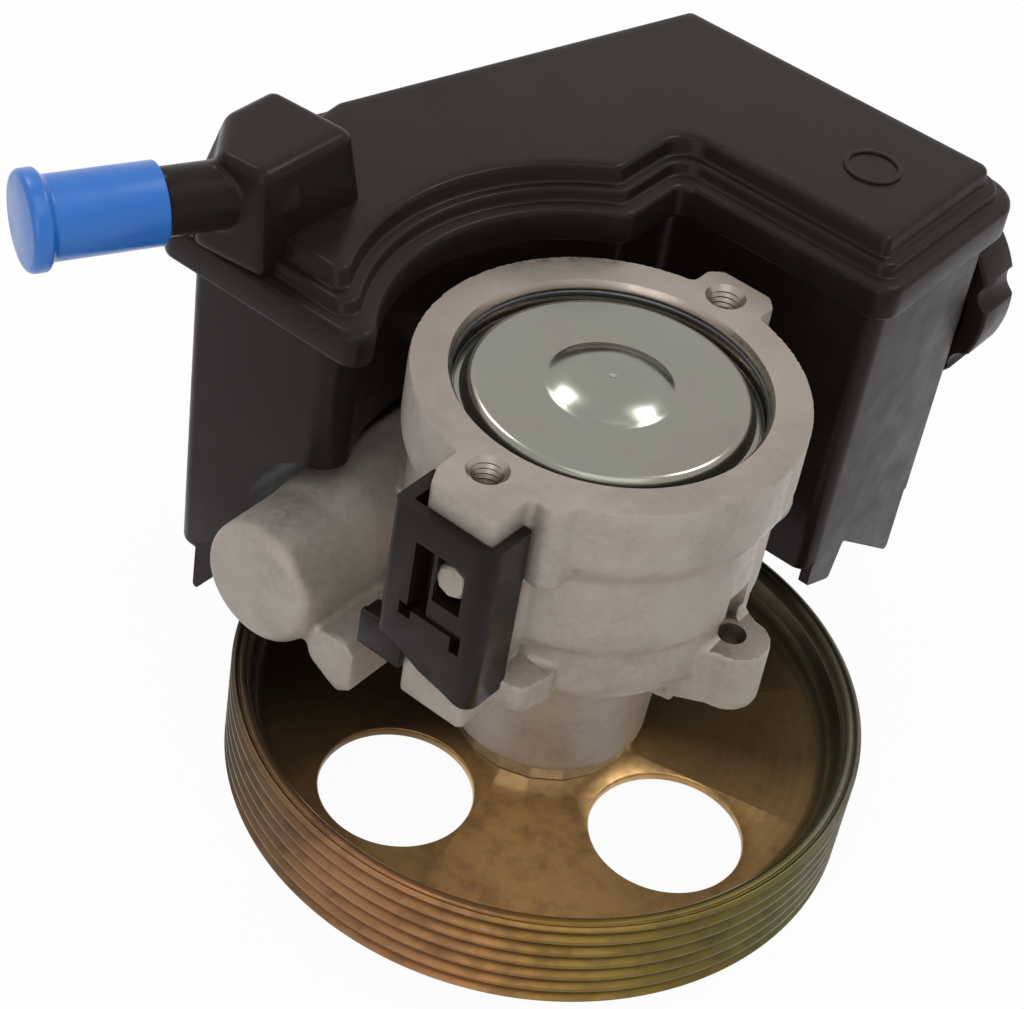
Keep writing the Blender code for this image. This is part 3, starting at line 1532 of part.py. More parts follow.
def build():
    clear_scene()
    looks = make_finishes()
    make_pulley(looks)
    make_hub(looks)
    make_pulley_bolts(looks)
    make_shaft(looks)
    make_snap_ring(looks)
    make_bearing(looks)
    make_shaft_seal(looks)
    make_bush(looks)
    make_housing(looks)
    make_front_plate(looks)
    make_cam_ring(looks)
    make_rotor(looks)
    make_vanes(looks)
    make_rear_plate(looks)
    make_dowels(looks)
    make_plate_spring(looks)
    make_cover(looks)
    make_cover_seal(looks)
    make_cover_ring(looks)
    make_valve(looks)
    make_tank(looks)
    make_lid(looks)
    make_filler_cap(looks)
    make_suction_tube(looks)
    make_strainer(looks)
    make_clip(looks)
    make_dust_cap(looks)


build()
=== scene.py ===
import json
import math
import bpy
from mathutils import Matrix, Vector


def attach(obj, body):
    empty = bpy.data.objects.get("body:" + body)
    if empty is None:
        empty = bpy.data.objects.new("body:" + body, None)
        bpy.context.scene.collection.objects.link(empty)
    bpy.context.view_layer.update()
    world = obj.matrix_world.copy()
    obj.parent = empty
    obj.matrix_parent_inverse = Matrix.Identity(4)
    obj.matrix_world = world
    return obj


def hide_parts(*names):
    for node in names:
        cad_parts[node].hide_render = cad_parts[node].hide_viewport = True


# Power steering pump with its fluid reservoir, dressed over the CAD frame.
# Lengths in the pieces' dictionaries are millimetres; those of the camera, lamps and floor are metres.
# Everything is laid out about the shaft, which is Z.

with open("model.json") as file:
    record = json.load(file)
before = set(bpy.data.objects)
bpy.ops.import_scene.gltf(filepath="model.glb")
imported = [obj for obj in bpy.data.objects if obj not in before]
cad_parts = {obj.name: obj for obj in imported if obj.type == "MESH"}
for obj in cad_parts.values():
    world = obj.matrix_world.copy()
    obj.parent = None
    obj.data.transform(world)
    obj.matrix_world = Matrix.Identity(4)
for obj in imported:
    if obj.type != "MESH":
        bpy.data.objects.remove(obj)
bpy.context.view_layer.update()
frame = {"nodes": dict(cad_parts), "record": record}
mm = 0.001
fullTurn = 2 * math.pi


# Modelling steps that every piece uses

def clearSelection():
    if bpy.context.object and bpy.context.object.mode != "OBJECT":
        bpy.ops.object.mode_set(mode="OBJECT")
    bpy.ops.object.select_all(action="DESELECT")


def activate(piece):
    clearSelection()
    piece.select_set(True)
    bpy.context.view_layer.objects.active = piece


def editAll(piece):
    activate(piece)
    bpy.ops.object.mode_set(mode="EDIT")
    bpy.ops.mesh.select_all(action="SELECT")


def leaveEdit():
    bpy.ops.object.mode_set(mode="OBJECT")


def closeEdit():  # every face turned outward
    bpy.ops.mesh.select_all(action="SELECT")
    bpy.ops.mesh.normals_make_consistent(inside=False)
    leaveEdit()


def nameIt(piece, name):
    piece.name = name
    piece.data.name = name
    return piece


def roundPath(corners, closed, steps):  # corners are (across, up, radius); a radius above 0 becomes an arc
    path = []
    count = len(corners)
    for index, (x, y, radius) in enumerate(corners):
        here = Vector((x, y))
        if radius <= 0 or (not closed and index in (0, count - 1)):
            path.append(here)
            continue
        back = Vector(corners[index - 1][:2]) - here
        ahead = Vector(corners[(index + 1) % count][:2]) - here
        half = math.acos(max(-1, min(1, back.normalized().dot(ahead.normalized())))) / 2
        reach = min(radius / math.tan(half), back.length * 0.49, ahead.length * 0.49)
        size = reach * math.tan(half)
        middle = here + (back.normalized() + ahead.normalized()).normalized() * size / math.sin(half)
        first = here + back.normalized() * reach - middle
        last = here + ahead.normalized() * reach - middle
        start = math.atan2(first.y, first.x)
        sweep = (math.atan2(last.y, last.x) - start + math.pi) % fullTurn - math.pi
        for step in range(steps + 1):
            angle = start + sweep * step / steps
            path.append(middle + size * Vector((math.cos(angle), math.sin(angle))))
    return path


def drawLine(name, points, closed=False):  # one point is extruded along the path, as by hand
    clearSelection()
    bpy.ops.mesh.primitive_plane_add(size=mm)
    piece = nameIt(bpy.context.object, name)
    editAll(piece)
    bpy.ops.mesh.merge(type="CENTER")
    bpy.ops.transform.translate(value=points[0])
    for here, ahead in zip(points, points[1:]):
        bpy.ops.mesh.extrude_region_move(TRANSFORM_OT_translate={"value": ahead - here})
    if closed:
        leaveEdit()
        for spot in (points[0], points[-1]):
            min(piece.data.vertices, key=lambda v: (v.co - spot).length).select = True
        bpy.ops.object.mode_set(mode="EDIT")
        bpy.ops.mesh.edge_face_add()
    bpy.ops.mesh.select_all(action="SELECT")
    return piece


def turnProfile(name, corners, steps=96, closed=False, roundSteps=4):  # a section of (radius, height) spun
    path = roundPath(corners, closed, roundSteps)
    piece = drawLine(name, [Vector((x, 0, y)) * mm for x, y in path], closed)
    bpy.ops.mesh.spin(steps=steps, angle=fullTurn, center=(0, 0, 0), axis=(0, 0, 1))
    bpy.ops.mesh.select_all(action="SELECT")
    bpy.ops.mesh.remove_doubles(threshold=0.002 * mm)
    closeEdit()
    return piece


def raiseOutline(name, corners, bottom, top, roundSteps=6):  # a plan outline filled and extruded up
    path = roundPath(corners, True, roundSteps)
    piece = drawLine(name, [Vector((x, y, bottom)) * mm for x, y in path], True)
    bpy.ops.mesh.edge_face_add()
    bpy.ops.mesh.extrude_region_move(TRANSFORM_OT_translate={"value": (0, 0, (top - bottom) * mm)})
    closeEdit()
    return piece


def stackOutlines(name, rings):  # outlines of as many points each, bridged from the lowest up and closed
    parts = []
    for path, height in rings:
        level = height + 0.004 * len(parts)  # the bridge twists between two rings at one height
        parts.append(drawLine(name, [Vector((x, y, level)) * mm for x, y in path], True))
        if len(parts) in (1, len(rings)):
            bpy.ops.mesh.edge_face_add()
        leaveEdit()
    clearSelection()
    for part in parts:
        part.select_set(True)
    bpy.context.view_layer.objects.active = parts[0]
    bpy.ops.object.join()
    piece = nameIt(parts[0], name)
    count = len(rings[0][0])
    for level in range(len(rings) - 1):
        for face in piece.data.polygons:
            face.select = False
        for vertex in piece.data.vertices:
            vertex.select = level * count <= vertex.index < (level + 2) * count
        for edge in piece.data.edges:
            first, second = edge.vertices
            sameRing = first // count == second // count
            edge.select = sameRing and piece.data.vertices[first].select and piece.data.vertices[second].select
        bpy.ops.object.mode_set(mode="EDIT")
        bpy.ops.mesh.select_mode(type="EDGE")
        bpy.ops.mesh.bridge_edge_loops()
        bpy.ops.mesh.select_mode(type="VERT")
        leaveEdit()
    editAll(piece)
    bpy.ops.mesh.normals_make_consistent(inside=False)
    bpy.ops.mesh.quads_convert_to_tris(quad_method="BEAUTY", ngon_method="BEAUTY")
    leaveEdit()
    return piece


def addRod(name, radius, start, end, steps=48):  # a round bar from one point to another
    start = Vector(start)
    end = Vector(end)
    clearSelection()
    bpy.ops.mesh.primitive_cylinder_add(
        vertices=steps, radius=radius * mm, depth=(end - start).length * mm, location=(start + end) / 2 * mm,
        rotation=(end - start).to_track_quat("Z", "Y").to_euler())
    piece = nameIt(bpy.context.object, name)
    bpy.ops.object.transform_apply()
    return piece


def addBlock(name, low, high):
    low = Vector(low)
    high = Vector(high)
    clearSelection()
    bpy.ops.mesh.primitive_cube_add(size=1, location=(low + high) / 2 * mm)
    piece = nameIt(bpy.context.object, name)
    piece.scale = (high - low) * mm
    bpy.ops.object.transform_apply()
    return piece


def placeBy(piece, matrix):
    activate(piece)
    piece.matrix_world = matrix
    bpy.ops.object.transform_apply()
    return piece


def finishModifier(piece, kind, **settings):
    activate(piece)
    bpy.ops.object.modifier_add(type=kind)
    change = piece.modifiers[-1]
    for key, value in settings.items():
        setattr(change, key, value)
    bpy.ops.object.modifier_apply(modifier=change.name)


def carve(piece, tool, operation="DIFFERENCE", solver="EXACT"):
    finishModifier(piece, "BOOLEAN", operation=operation, solver=solver, object=tool)
    bpy.data.objects.remove(tool)


def softEdges(piece, width, segments=3, angle=30):
    finishModifier(piece, "BEVEL", width=width * mm, segments=segments, limit_method="ANGLE",
                   angle_limit=math.radians(angle), miter_outer="MITER_ARC", use_clamp_overlap=True)


def smoothShade(piece, angle=35):
    activate(piece)
    bpy.ops.object.shade_smooth_by_angle(angle=math.radians(angle))


def dress(piece, body, material, slotName, *nodes):
    piece.data.materials.clear()
    piece.data.materials.append(material)
    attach(piece, body)
    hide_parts(*nodes)


upright = Matrix.Rotation(math.pi / 2, 4, "X")  # stands a plan outline up


def aboutZ(degrees):
    return Matrix.Rotation(math.radians(degrees), 4, "Z")


def alongY(x, z):  # turns a piece drawn about Z so that it points along Y
    return Matrix.Translation(Vector((x, 0, z)) * mm) @ Matrix.Rotation(-math.pi / 2, 4, "X")


def levelAlong(origin, heading):  # turns a piece drawn about Z so that it lies level on a heading
    turn = aboutZ(heading) @ Matrix.Rotation(math.pi / 2, 4, "Y")
    return Matrix.Translation(Vector(origin) * mm) @ turn


# Material nodes that every finish uses

def newMaterial(name, colour, roughness, metallic):
    material = bpy.data.materials.new(name)
    material.use_nodes = True
    shader = material.node_tree.nodes["Principled BSDF"]
    shader.inputs["Base Color"].default_value = (*colour, 1)
    shader.inputs["Roughness"].default_value = roughness
    shader.inputs["Metallic"].default_value = metallic
    material.diffuse_color = (*colour, 1)
    return material, material.node_tree, shader


def addNode(tree, kind, **settings):
    node = tree.nodes.new(kind)
    for key, value in settings.items():
        if key in node.inputs:
            node.inputs[key].default_value = value
        else:
            setattr(node, key, value)
    return node


def objectPoint(tree):
    return addNode(tree, "ShaderNodeTexCoord").outputs["Object"]


def addNoise(tree, point, scale, detail=3.0, roughness=0.5):
    noise = addNode(tree, "ShaderNodeTexNoise", Scale=scale, Detail=detail, Roughness=roughness)
    tree.links.new(point, noise.inputs["Vector"])
    return noise.outputs["Fac"]


def addRamp(tree, value, stops):
    ramp = addNode(tree, "ShaderNodeValToRGB")
    while len(ramp.color_ramp.elements) < len(stops):
        ramp.color_ramp.elements.new(0.5)
    for element, (place, colour) in zip(ramp.color_ramp.elements, stops):
        element.position = place
        element.color = (*colour, 1)
    tree.links.new(value, ramp.inputs["Fac"])
    return ramp.outputs["Color"]


def addRange(tree, value, low, high, fromLow=0.0, fromHigh=1.0):
    spread = addNode(tree, "ShaderNodeMapRange")
    for key, number in (("From Min", fromLow), ("From Max", fromHigh), ("To Min", low), ("To Max", high)):
        spread.inputs[key].default_value = number
    tree.links.new(value, spread.inputs["Value"])
    return spread.outputs["Result"]


def addMath(tree, operation, first, second=None):
    node = addNode(tree, "ShaderNodeMath", operation=operation)
    for socket, value in zip(node.inputs, (first, second)):
        if value is None:
            continue
        if isinstance(value, (int, float)):
            socket.default_value = value
        else:
            tree.links.new(value, socket)
    return node.outputs["Value"]


def addMix(tree, factor, first, second):
    node = addNode(tree, "ShaderNodeMix", data_type="RGBA")
    for socket, value in zip((node.inputs[0], node.inputs[6], node.inputs[7]), (factor, first, second)):
        if isinstance(value, (int, float)):
            socket.default_value = value
        elif isinstance(value, tuple):
            socket.default_value = (*value, 1)
        else:
            tree.links.new(value, socket)
    return node.outputs[2]


def addPlace(tree, point):  # x, y and the distance from the shaft's axis
    parts = addNode(tree, "ShaderNodeSeparateXYZ")
    tree.links.new(point, parts.inputs[0])
    x, y = parts.outputs[0], parts.outputs[1]
    squares = addMath(tree, "ADD", addMath(tree, "MULTIPLY", x, x), addMath(tree, "MULTIPLY", y, y))
    return x, y, addMath(tree, "SQRT", squares)


def addSeenRay(tree):  # 1 for rays from the camera and off mirrors or through glass, 0 for all others
    path = addNode(tree, "ShaderNodeLightPath")
    seenRay = addMath(tree, "MAXIMUM", path.outputs["Is Camera Ray"], path.outputs["Is Glossy Ray"])
    return addMath(tree, "MAXIMUM", seenRay, path.outputs["Is Transmission Ray"])


def addBump(tree, shader, height, strength, distance, below=None):
    bump = addNode(tree, "ShaderNodeBump", Strength=strength, Distance=distance * mm)
    tree.links.new(height, bump.inputs["Height"])
    if below is not None:
        tree.links.new(below, bump.inputs["Normal"])
    tree.links.new(bump.outputs["Normal"], shader.inputs["Normal"])
    return bump.outputs["Normal"]


# Plan outline shared by the lid and the tank, in millimetres, anticlockwise from the front left

plan = {
    "front": -35.0, "left": -85.0, "kink": (-90.4, 15.0), "backLeft": (-63.8, 109.4), "back": 109.4,
    "right": 26.0, "recess": 44.8, "notchSide": -24.8, "notchBack": 55.5, "corner": 5.0, "backRound": 9.3,
    "notchCorner": 3.5,
}


def arcPoints(centre, radius, start, end, count):
    angles = [start + (end - start) * step / count for step in range(count + 1)]
    return [Vector((centre[0] + radius * math.cos(a), centre[1] + radius * math.sin(a))) for a in angles]


def edgeLine(start, end, inset):
    start = Vector(start)
    along = (Vector(end) - start).normalized()
    return start + Vector((-along.y, along.x)) * inset, along


def lineCrossing(first, second):
    across = first[1].cross(second[1])
    return first[0] + first[1] * ((second[0] - first[0]).cross(second[1]) / across)


def cornerArc(before, corner, after, radius, count):
    back = (before - corner).normalized()
    ahead = (after - corner).normalized()
    half = math.acos(max(-1, min(1, back.dot(ahead)))) / 2
    middle = corner + (back + ahead).normalized() * radius / math.sin(half)
    first = corner + back * radius / math.tan(half) - middle
    last = corner + ahead * radius / math.tan(half) - middle
    start = math.atan2(first.y, first.x)
    sweep = (math.atan2(last.y, last.x) - start + math.pi) % fullTurn - math.pi
    return arcPoints(middle, radius, start, start + sweep, count)


def planOutline(inset, leftInset, backInset, tipCorner):
    frontLeft = Vector((plan["left"], plan["front"]))
    notch = Vector((plan["notchSide"], plan["notchBack"]))
    frontRight = Vector((plan["right"], plan["notchBack"]))
    backRight = Vector((plan["right"], plan["back"]))
    leftEdge = edgeLine(plan["kink"], frontLeft, leftInset)
    frontEdge = edgeLine(frontLeft, frontLeft + Vector((1, 0)), inset)
    notchEdge = edgeLine(notch - Vector((0, 1)), notch, inset)
    stepEdge = edgeLine(notch, frontRight, inset)
    rightEdge = edgeLine(frontRight, backRight, inset)
    backEdge = edgeLine(backRight, plan["backLeft"], backInset)
    slantEdge = edgeLine(plan["backLeft"], plan["kink"], leftInset)
    start = lineCrossing(leftEdge, frontEdge)
    hollow = lineCrossing(notchEdge, stepEdge)
    outerFront = lineCrossing(stepEdge, rightEdge)
    outerBack = lineCrossing(rightEdge, backEdge)
    slantBack = lineCrossing(backEdge, slantEdge)
    kink = lineCrossing(slantEdge, leftEdge)
    recess = plan["recess"] + inset
    roundCorner = max(plan["corner"] - inset / 2, 0.8)
    roundTip = max(tipCorner - inset / 4, 0.8)
    points = cornerArc(kink, start, start + Vector((1, 0)), roundCorner, 8)
    tipY = start.y + roundTip
    tipX = -math.sqrt((recess + roundTip) ** 2 - tipY ** 2)
    points += arcPoints((tipX, tipY), roundTip, -math.pi / 2, math.atan2(-tipY, -tipX), 8)
    bump = plan["notchCorner"]
    bumpX = hollow.x - bump
    bumpY = math.sqrt((recess + bump) ** 2 - bumpX ** 2)
    arcEnd = math.atan2(bumpY, bumpX) - fullTurn
    points += arcPoints((0, 0), recess, math.atan2(tipY, tipX), arcEnd, 44)[1:-1]
    points += arcPoints((bumpX, bumpY), bump, math.atan2(-bumpY, -bumpX), 0, 6)
    points += cornerArc(hollow - Vector((0, 1)), hollow, outerFront, plan["notchCorner"] + inset / 2, 8)
    points += cornerArc(hollow, outerFront, outerBack, roundCorner, 8)
    points += cornerArc(outerFront, outerBack, slantBack, max(plan["backRound"] - backInset, 1.5), 8)
    points += cornerArc(outerBack, slantBack, kink, roundCorner, 6)
    points += cornerArc(slantBack, kink, start, roundCorner, 3)
    return points


# Pulley: one turned pressing with six grooves, then the holes with their rolled edges

pulleyLook = {
    "radius": 66.0, "height": 22.2, "grooves": 6, "pitch": 3.56, "depth": 2.4, "crest": 0.75, "rimWall": 4.3,
    "webTop": 13.0, "webThickness": 2.2, "fillet": 4.0, "bore": 11.0, "holeRadius": 15.8, "holeCircle": 39.1,
    "holes": 4, "holePhase": -11.8, "holeRound": 0.8, "holeSteps": 96, "cutReach": 4, "steps": 224,
}


def makePulley():
    look = pulleyLook
    radius = look["radius"]
    inner = radius - look["rimWall"]
    low = look["webTop"] - look["webThickness"]
    band = look["grooves"] * look["pitch"]
    first = (look["height"] - band) / 2
    section = [
        (look["bore"], low, 0.3), (inner, low, look["fillet"]), (inner, 0, 0.9), (radius - 0.9, 0, 0.6),
        (radius, first + 0.2, 0.3),
    ]
    for groove in range(look["grooves"]):
        bottom = first + groove * look["pitch"]
        crest = look["crest"] / 2
        middle = bottom + look["pitch"] / 2
        if groove:
            section += [(radius, bottom - crest, 0.22), (radius, bottom + crest, 0.22)]
        else:
            section += [(radius, bottom + crest, 0.22)]
        section += [(radius - look["depth"], middle - 0.25, 0.2), (radius - look["depth"], middle + 0.25, 0.2)]
    top = look["height"]
    section += [
        (radius, top - first - look["crest"] / 2, 0.22), (radius, top - 0.4, 0.4), (radius - 0.8, top, 0.3),
        (radius - 1.2, top - 0.1, 0.2), (radius - 1.5, top - 0.7, 0.2), (radius - 1.9, top - 0.1, 0.2),
        (inner + 1.1, top, 1.0), (inner, top - 1.6, 1.2), (inner, look["webTop"], look["fillet"]),
        (look["bore"], look["webTop"], 0.3),
    ]
    pulley = turnProfile("pulleyFine", section, look["steps"], True, 3)
    edge = look["holeRound"]
    holeRadius = look["holeRadius"]
    wide = holeRadius + 3 * edge
    under = low - edge * 0.2
    over = look["webTop"] + edge * 0.2
    foot = low - look["cutReach"]
    head = look["webTop"] + look["cutReach"]
    for hole in range(look["holes"]):
        angle = math.radians(look["holePhase"] + 360 / look["holes"] * hole)
        cutter = turnProfile("holeCutter", [
            (0, foot, 0), (wide, foot, 0), (wide, under, 0), (holeRadius, under + 0.01, edge),
            (holeRadius, over, edge), (wide, over, 0), (wide, head, 0), (0, head, 0)], look["holeSteps"])
        spot = Vector((look["holeCircle"] * math.cos(angle), look["holeCircle"] * math.sin(angle), 0)) * mm
        placeBy(cutter, Matrix.Translation(spot))
        carve(pulley, cutter)
    smoothShade(pulley, 40)
    return pulley


# Casting: rough shapes joined and rounded together, then the machined faces and bores cut crisp

castLook = {
    "grain": 0.72, "smoothing": 5, "top": 103.0, "ringRadius": 38.5, "bore": 30.75,
    "lip": 30.25, "lipTop": 101.7, "groove": 31.7, "cartridgeTop": 94.2, "overCut": 0.5,
    "earHole": 3.6, "earHoles": ((0.7, -38.0), (-0.6, 38.2)), "earDepth": 16, "threadPitch": 1.25,
    "threadDepth": 0.45, "sideAngle": 3, "sideHole": 2.9, "sideReach": 36.5, "sideTop": 61, "bossReach": 37.8,
    "bossRadius": 6.6, "ribAngle": -67.5, "ribReach": 37.4, "ribRadius": 4.0, "ductRadius": 10.5,
    "valve": (-40.0, 53.6), "valveBore": 7.6,
}


def unionAll(name, parts):
    body = parts[0]
    for part in parts[1:]:
        carve(body, part, "UNION", "MANIFOLD")
    return nameIt(body, name)


def makeCasting():
    look = castLook
    top = look["top"]
    rough = top + look["overCut"]
    body = turnProfile("castingFine", [
        (0, 17, 0), (20.9, 17, 0.8), (21.8, 42, 0), (23.2, 45.4, 3), (30, 49, 1.5), (32.8, 51, 1.5),
        (35.2, 54.5, 2), (35.2, 65.0, 0), (35.9, 66.2, 0), (35.9, 84.1, 0), (36.6, 85.0, 0), (38.2, 88.2, 0),
        (look["ringRadius"], 90, 0.5), (look["ringRadius"], rough, 0), (0, rough, 0)], 128)
    frontEar = raiseOutline("frontEar", [
        (-6.4, -30, 0), (-6.4, -43.5, 0), (-4.0, -48.3, 0), (11.0, -48.3, 0.8), (11.0, -30, 0)], 51, rough)
    backEar = raiseOutline("backEar", [
        (8, 30, 0), (8, 42.6, 0), (5.6, 45, 0), (-5.6, 45, 0), (-8, 42.6, 0), (-8, 30, 0)], 80, rough)
    ribTurn = math.radians(look["ribAngle"])
    ribSpot = Vector((math.cos(ribTurn), math.sin(ribTurn), 0)) * look["ribReach"]
    rib = addRod("sideRib", look["ribRadius"], ribSpot + Vector((0, 0, 84)), ribSpot + Vector((0, 0, rough)))
    pad = raiseOutline("footPad", [
        (9, -36, 0), (12.7, -30, 0), (16.1, -29.4, 0), (19.4, -31.5, 0), (17.7, -39.9, 0), (9, -42, 0)], 54, 61)
    reach, curve = look["bossReach"], look["bossRadius"]
    bossTurns = [math.pi * (step / 16 - 0.5) for step in range(17)]
    bossEnd = [(reach + curve * math.cos(a), curve * math.sin(a), 0) for a in bossTurns]
    boss = raiseOutline("sideBoss", [(30, -10.5, 0), *bossEnd, (30, 10.5, 0)], 47, 61.3)
    placeBy(boss, aboutZ(look["sideAngle"]))
    underRib = addBlock("underRib", (19, -14, 44), (29, 6, 51))
    placeBy(underRib, aboutZ(14))
    outlet = addRod("outletBoss", look["ductRadius"], (14, 24, 64), (14, 41, 64))
    suction = addRod("suctionBoss", look["ductRadius"], (24.6, 0, 85), (42, 0, 85))
    placeBy(suction, aboutZ(150))
    x, z = look["valve"]
    valve = turnProfile("valveCylinder", [
        (0, -50.5, 0), (13.2, -50.5, 3.0), (13.2, -34, 6), (14.2, -26, 6), (14.4, 21, 0), (0, 21, 0)],
        96, False, 8)
    placeBy(valve, alongY(x, z))
    port = raiseOutline("portBlock", [
        (-29.4, 45.0, 0), (-27.8, 40.9, 0), (-23.2, 38.2, 0), (-20.2, 36.8, 0), (-17.2, 38.8, 0),
        (-17.2, 48.6, 0), (-19.6, 50.4, 0), (-26.0, 49.6, 0)], 5, 46.5)
    placeBy(port, upright)
    web = addBlock("valveWeb", (-40, -22, 40.5), (-21, 10, 53.6))
    portWeb = addBlock("portWeb", (-30, -43, 42), (-20, -12, 49))
    body = unionAll("castingFine", [
        body, frontEar, backEar, rib, pad, boss, underRib, outlet, suction, valve, port, web, portWeb])
    finishModifier(body, "REMESH", mode="VOXEL", voxel_size=look["grain"] * mm)
    finishModifier(body, "SMOOTH", factor=0.5, iterations=look["smoothing"])
    carve(body, addBlock("topCut", (-80, -80, top), (80, 80, top + 20)), solver="MANIFOLD")
    carve(body, addBlock("padCut", (11.4, -43, 60.7), (20.5, -33, 64)), solver="MANIFOLD")
    carve(body, addBlock("frontCut", (-4.6, -70, 62), (10.6, -48.25, 120)), solver="MANIFOLD")
    lip = look["lip"]
    bore = turnProfile("boreCutter", [
        (0, look["cartridgeTop"], 0), (look["bore"], look["cartridgeTop"], 0), (look["bore"], top - 3.9, 0),
        (look["groove"], top - 3.7, 0), (look["groove"], top - 2.0, 0), (lip, top - 1.8, 0),
        (lip, look["lipTop"], 0), (lip + 0.85, top + 0.01, 0), (lip + 1.5, top + 1, 0), (0, top + 1, 0)], 192)
    carve(body, bore)
    carve(body, addBlock("slotPocket", (-5.8, -52, 70.5), (9.4, -44.6, 91.6)))
    window = turnProfile("windowNub", [(0, -5, 0), (3.6, -5, 0), (3.6, 0, 0.6), (3.0, 0.5, 0), (0, 0.5, 0)], 8)
    placeBy(window, Matrix.Translation(Vector((4.4, -49.2, 85.3)) * mm) @ upright)
    carve(body, window, "UNION")
    for spot in look["earHoles"]:
        cutThread(body, look["earHole"], top - look["earDepth"], top, spot)
    turn = aboutZ(look["sideAngle"])
    reach, level = look["sideReach"], look["sideTop"]
    for cutter in (addBlock("sideTop", (35.9, -12, level), (60, 12, 70)),
                   addRod("toolGroove", look["sideHole"] + 0.6, (reach, 0, level), (reach, 0, 72)),
                   addRod("sideHole", look["sideHole"], (reach, 0, 40), (reach, 0, 66))):
        carve(body, placeBy(cutter, turn))
    carve(body, placeBy(addRod("valveBore", look["valveBore"], (0, 0, -42), (0, 0, 24)), alongY(x, z)))
    carve(body, addBlock("valveBack", (x - 20, 19, z - 20), (x + 20, 30, z + 20)))
    carve(body, addRod("outletBore", 6.0, (14, 32.5, 64), (14, 44, 64)))
    carve(body, addBlock("outletFace", (0, 39.5, 50), (28, 50, 78)))
    nose = turnProfile("noseBore", [
        (0, 16, 0), (17.15, 16, 0), (17.15, 33, 0), (8.9, 33, 0), (8.9, 58, 0), (0, 58, 0)], 96)
    carve(body, nose)
    smoothShade(body, 36)
    return body


def cutThread(piece, radius, low, high, spot):  # vee grooves at the thread's pitch, with a countersunk mouth
    pitch = castLook["threadPitch"]
    depth = castLook["threadDepth"]
    section = [(0, low, 0)]
    level = low
    while level < high - 1.6:
        section += [(radius - depth, level, 0), (radius, level + pitch / 2, 0)]
        level += pitch
    section += [(radius - depth, level, 0), (radius - depth, high - 1.1, 0), (radius + 0.55, high + 0.01, 0),
                (radius + 0.9, high + 2, 0), (0, high + 2, 0)]
    cutter = turnProfile("threadCutter", section, 48)
    placeBy(cutter, Matrix.Translation(Vector((*spot, 0)) * mm))
    carve(piece, cutter)


# Rear cover with its flange, raised crown and domed button, and the wire ring that holds it

coverLook = {
    "rim": 30.2, "flange": 97.9, "bottom": 94.5, "crown": 25.2, "face": 101.5, "shoulder": 2.2,
    "button": 12.5, "buttonTop": 4.6, "buttonStep": 0.12, "buttonRise": 2.1, "buttonSteps": 12, "mark": 0.7,
}


def makeCover():
    look = coverLook
    face = look["face"]
    crown = look["crown"]
    section = [
        (0, look["bottom"], 0), (look["rim"], look["bottom"], 0.3), (look["rim"], look["flange"], 0.4),
        (crown + look["shoulder"] + 0.5, look["flange"], 0.8),
        (crown + look["shoulder"], face, look["shoulder"]),
        (look["button"] + 0.5, face, 0.5), (look["button"], face + look["buttonStep"], 0)]
    top = face + look["buttonStep"] + look["buttonRise"]
    for step in range(1, look["buttonSteps"] + 1):
        share = 1 - step / look["buttonSteps"]
        across = look["buttonTop"] + (look["button"] - look["buttonTop"]) * share
        section.append((across, top - look["buttonRise"] * share ** 2, 0))
    section += [(look["mark"], top, 0.1), (look["mark"] * 0.4, top - 0.25, 0.1), (0, top - 0.25, 0)]
    return turnProfile("coverFine", section, 192, False, 8)


wireLook = {"centre": 30.85, "level": 100.15, "radius": 0.75, "sides": 14, "sweep": 346, "turn": -53}


def makeWireRing():
    look = wireLook
    wire = look["radius"]
    angles = [fullTurn * side / look["sides"] for side in range(look["sides"])]
    section = [(look["centre"] + wire * math.cos(a), look["level"] + wire * math.sin(a)) for a in angles]
    piece = drawLine("wireRingFine", [Vector((x, 0, y)) * mm for x, y in section], True)
    bpy.ops.mesh.edge_face_add()
    bpy.ops.mesh.spin(steps=150, angle=math.radians(look["sweep"]), center=(0, 0, 0), axis=(0, 0, 1))
    closeEdit()
    placeBy(piece, aboutZ(look["turn"]))
    smoothShade(piece, 40)
    return piece


# Reservoir lid: the outline stacked through its stepped section, then the elbow joined on

lidLook = {
    "bottom": 102.0, "flange": 109.6, "stepInset": 3.6, "stepTop": 112.2, "plateauInset": 6.4, "plateau": 116.0,
    "edge": 1.3, "wall": 2.4, "tipCorner": 4.0, "mark": (2.6, 82.0), "markRadius": 6.2, "markWall": 1.1,
    "markRise": 0.6, "seatGap": 0.3, "seatTop": 105.3,
}
elbowLook = {
    "root": (-66.6, -25.6, 122.0), "heading": -116.6, "top": 131.5, "round": 2.2, "bend": 8.2, "pipe": 6.6,
    "waist": 5.9, "pipeEnd": 45.2, "bore": 4.6, "drop": 4.5, "grain": 0.45, "smoothing": 6,
    "low": ((-84, -8), (-84, -30), (-75, -36), (-58, -34.5), (-57.2, -5.5)),
    "high": ((-79.8, -10.7), (-79.8, -23.5), (-71, -35), (-60.2, -33.8), (-59.8, -9.5)),
}


def lidOutline(inset):
    return planOutline(inset, inset, inset, lidLook["tipCorner"])


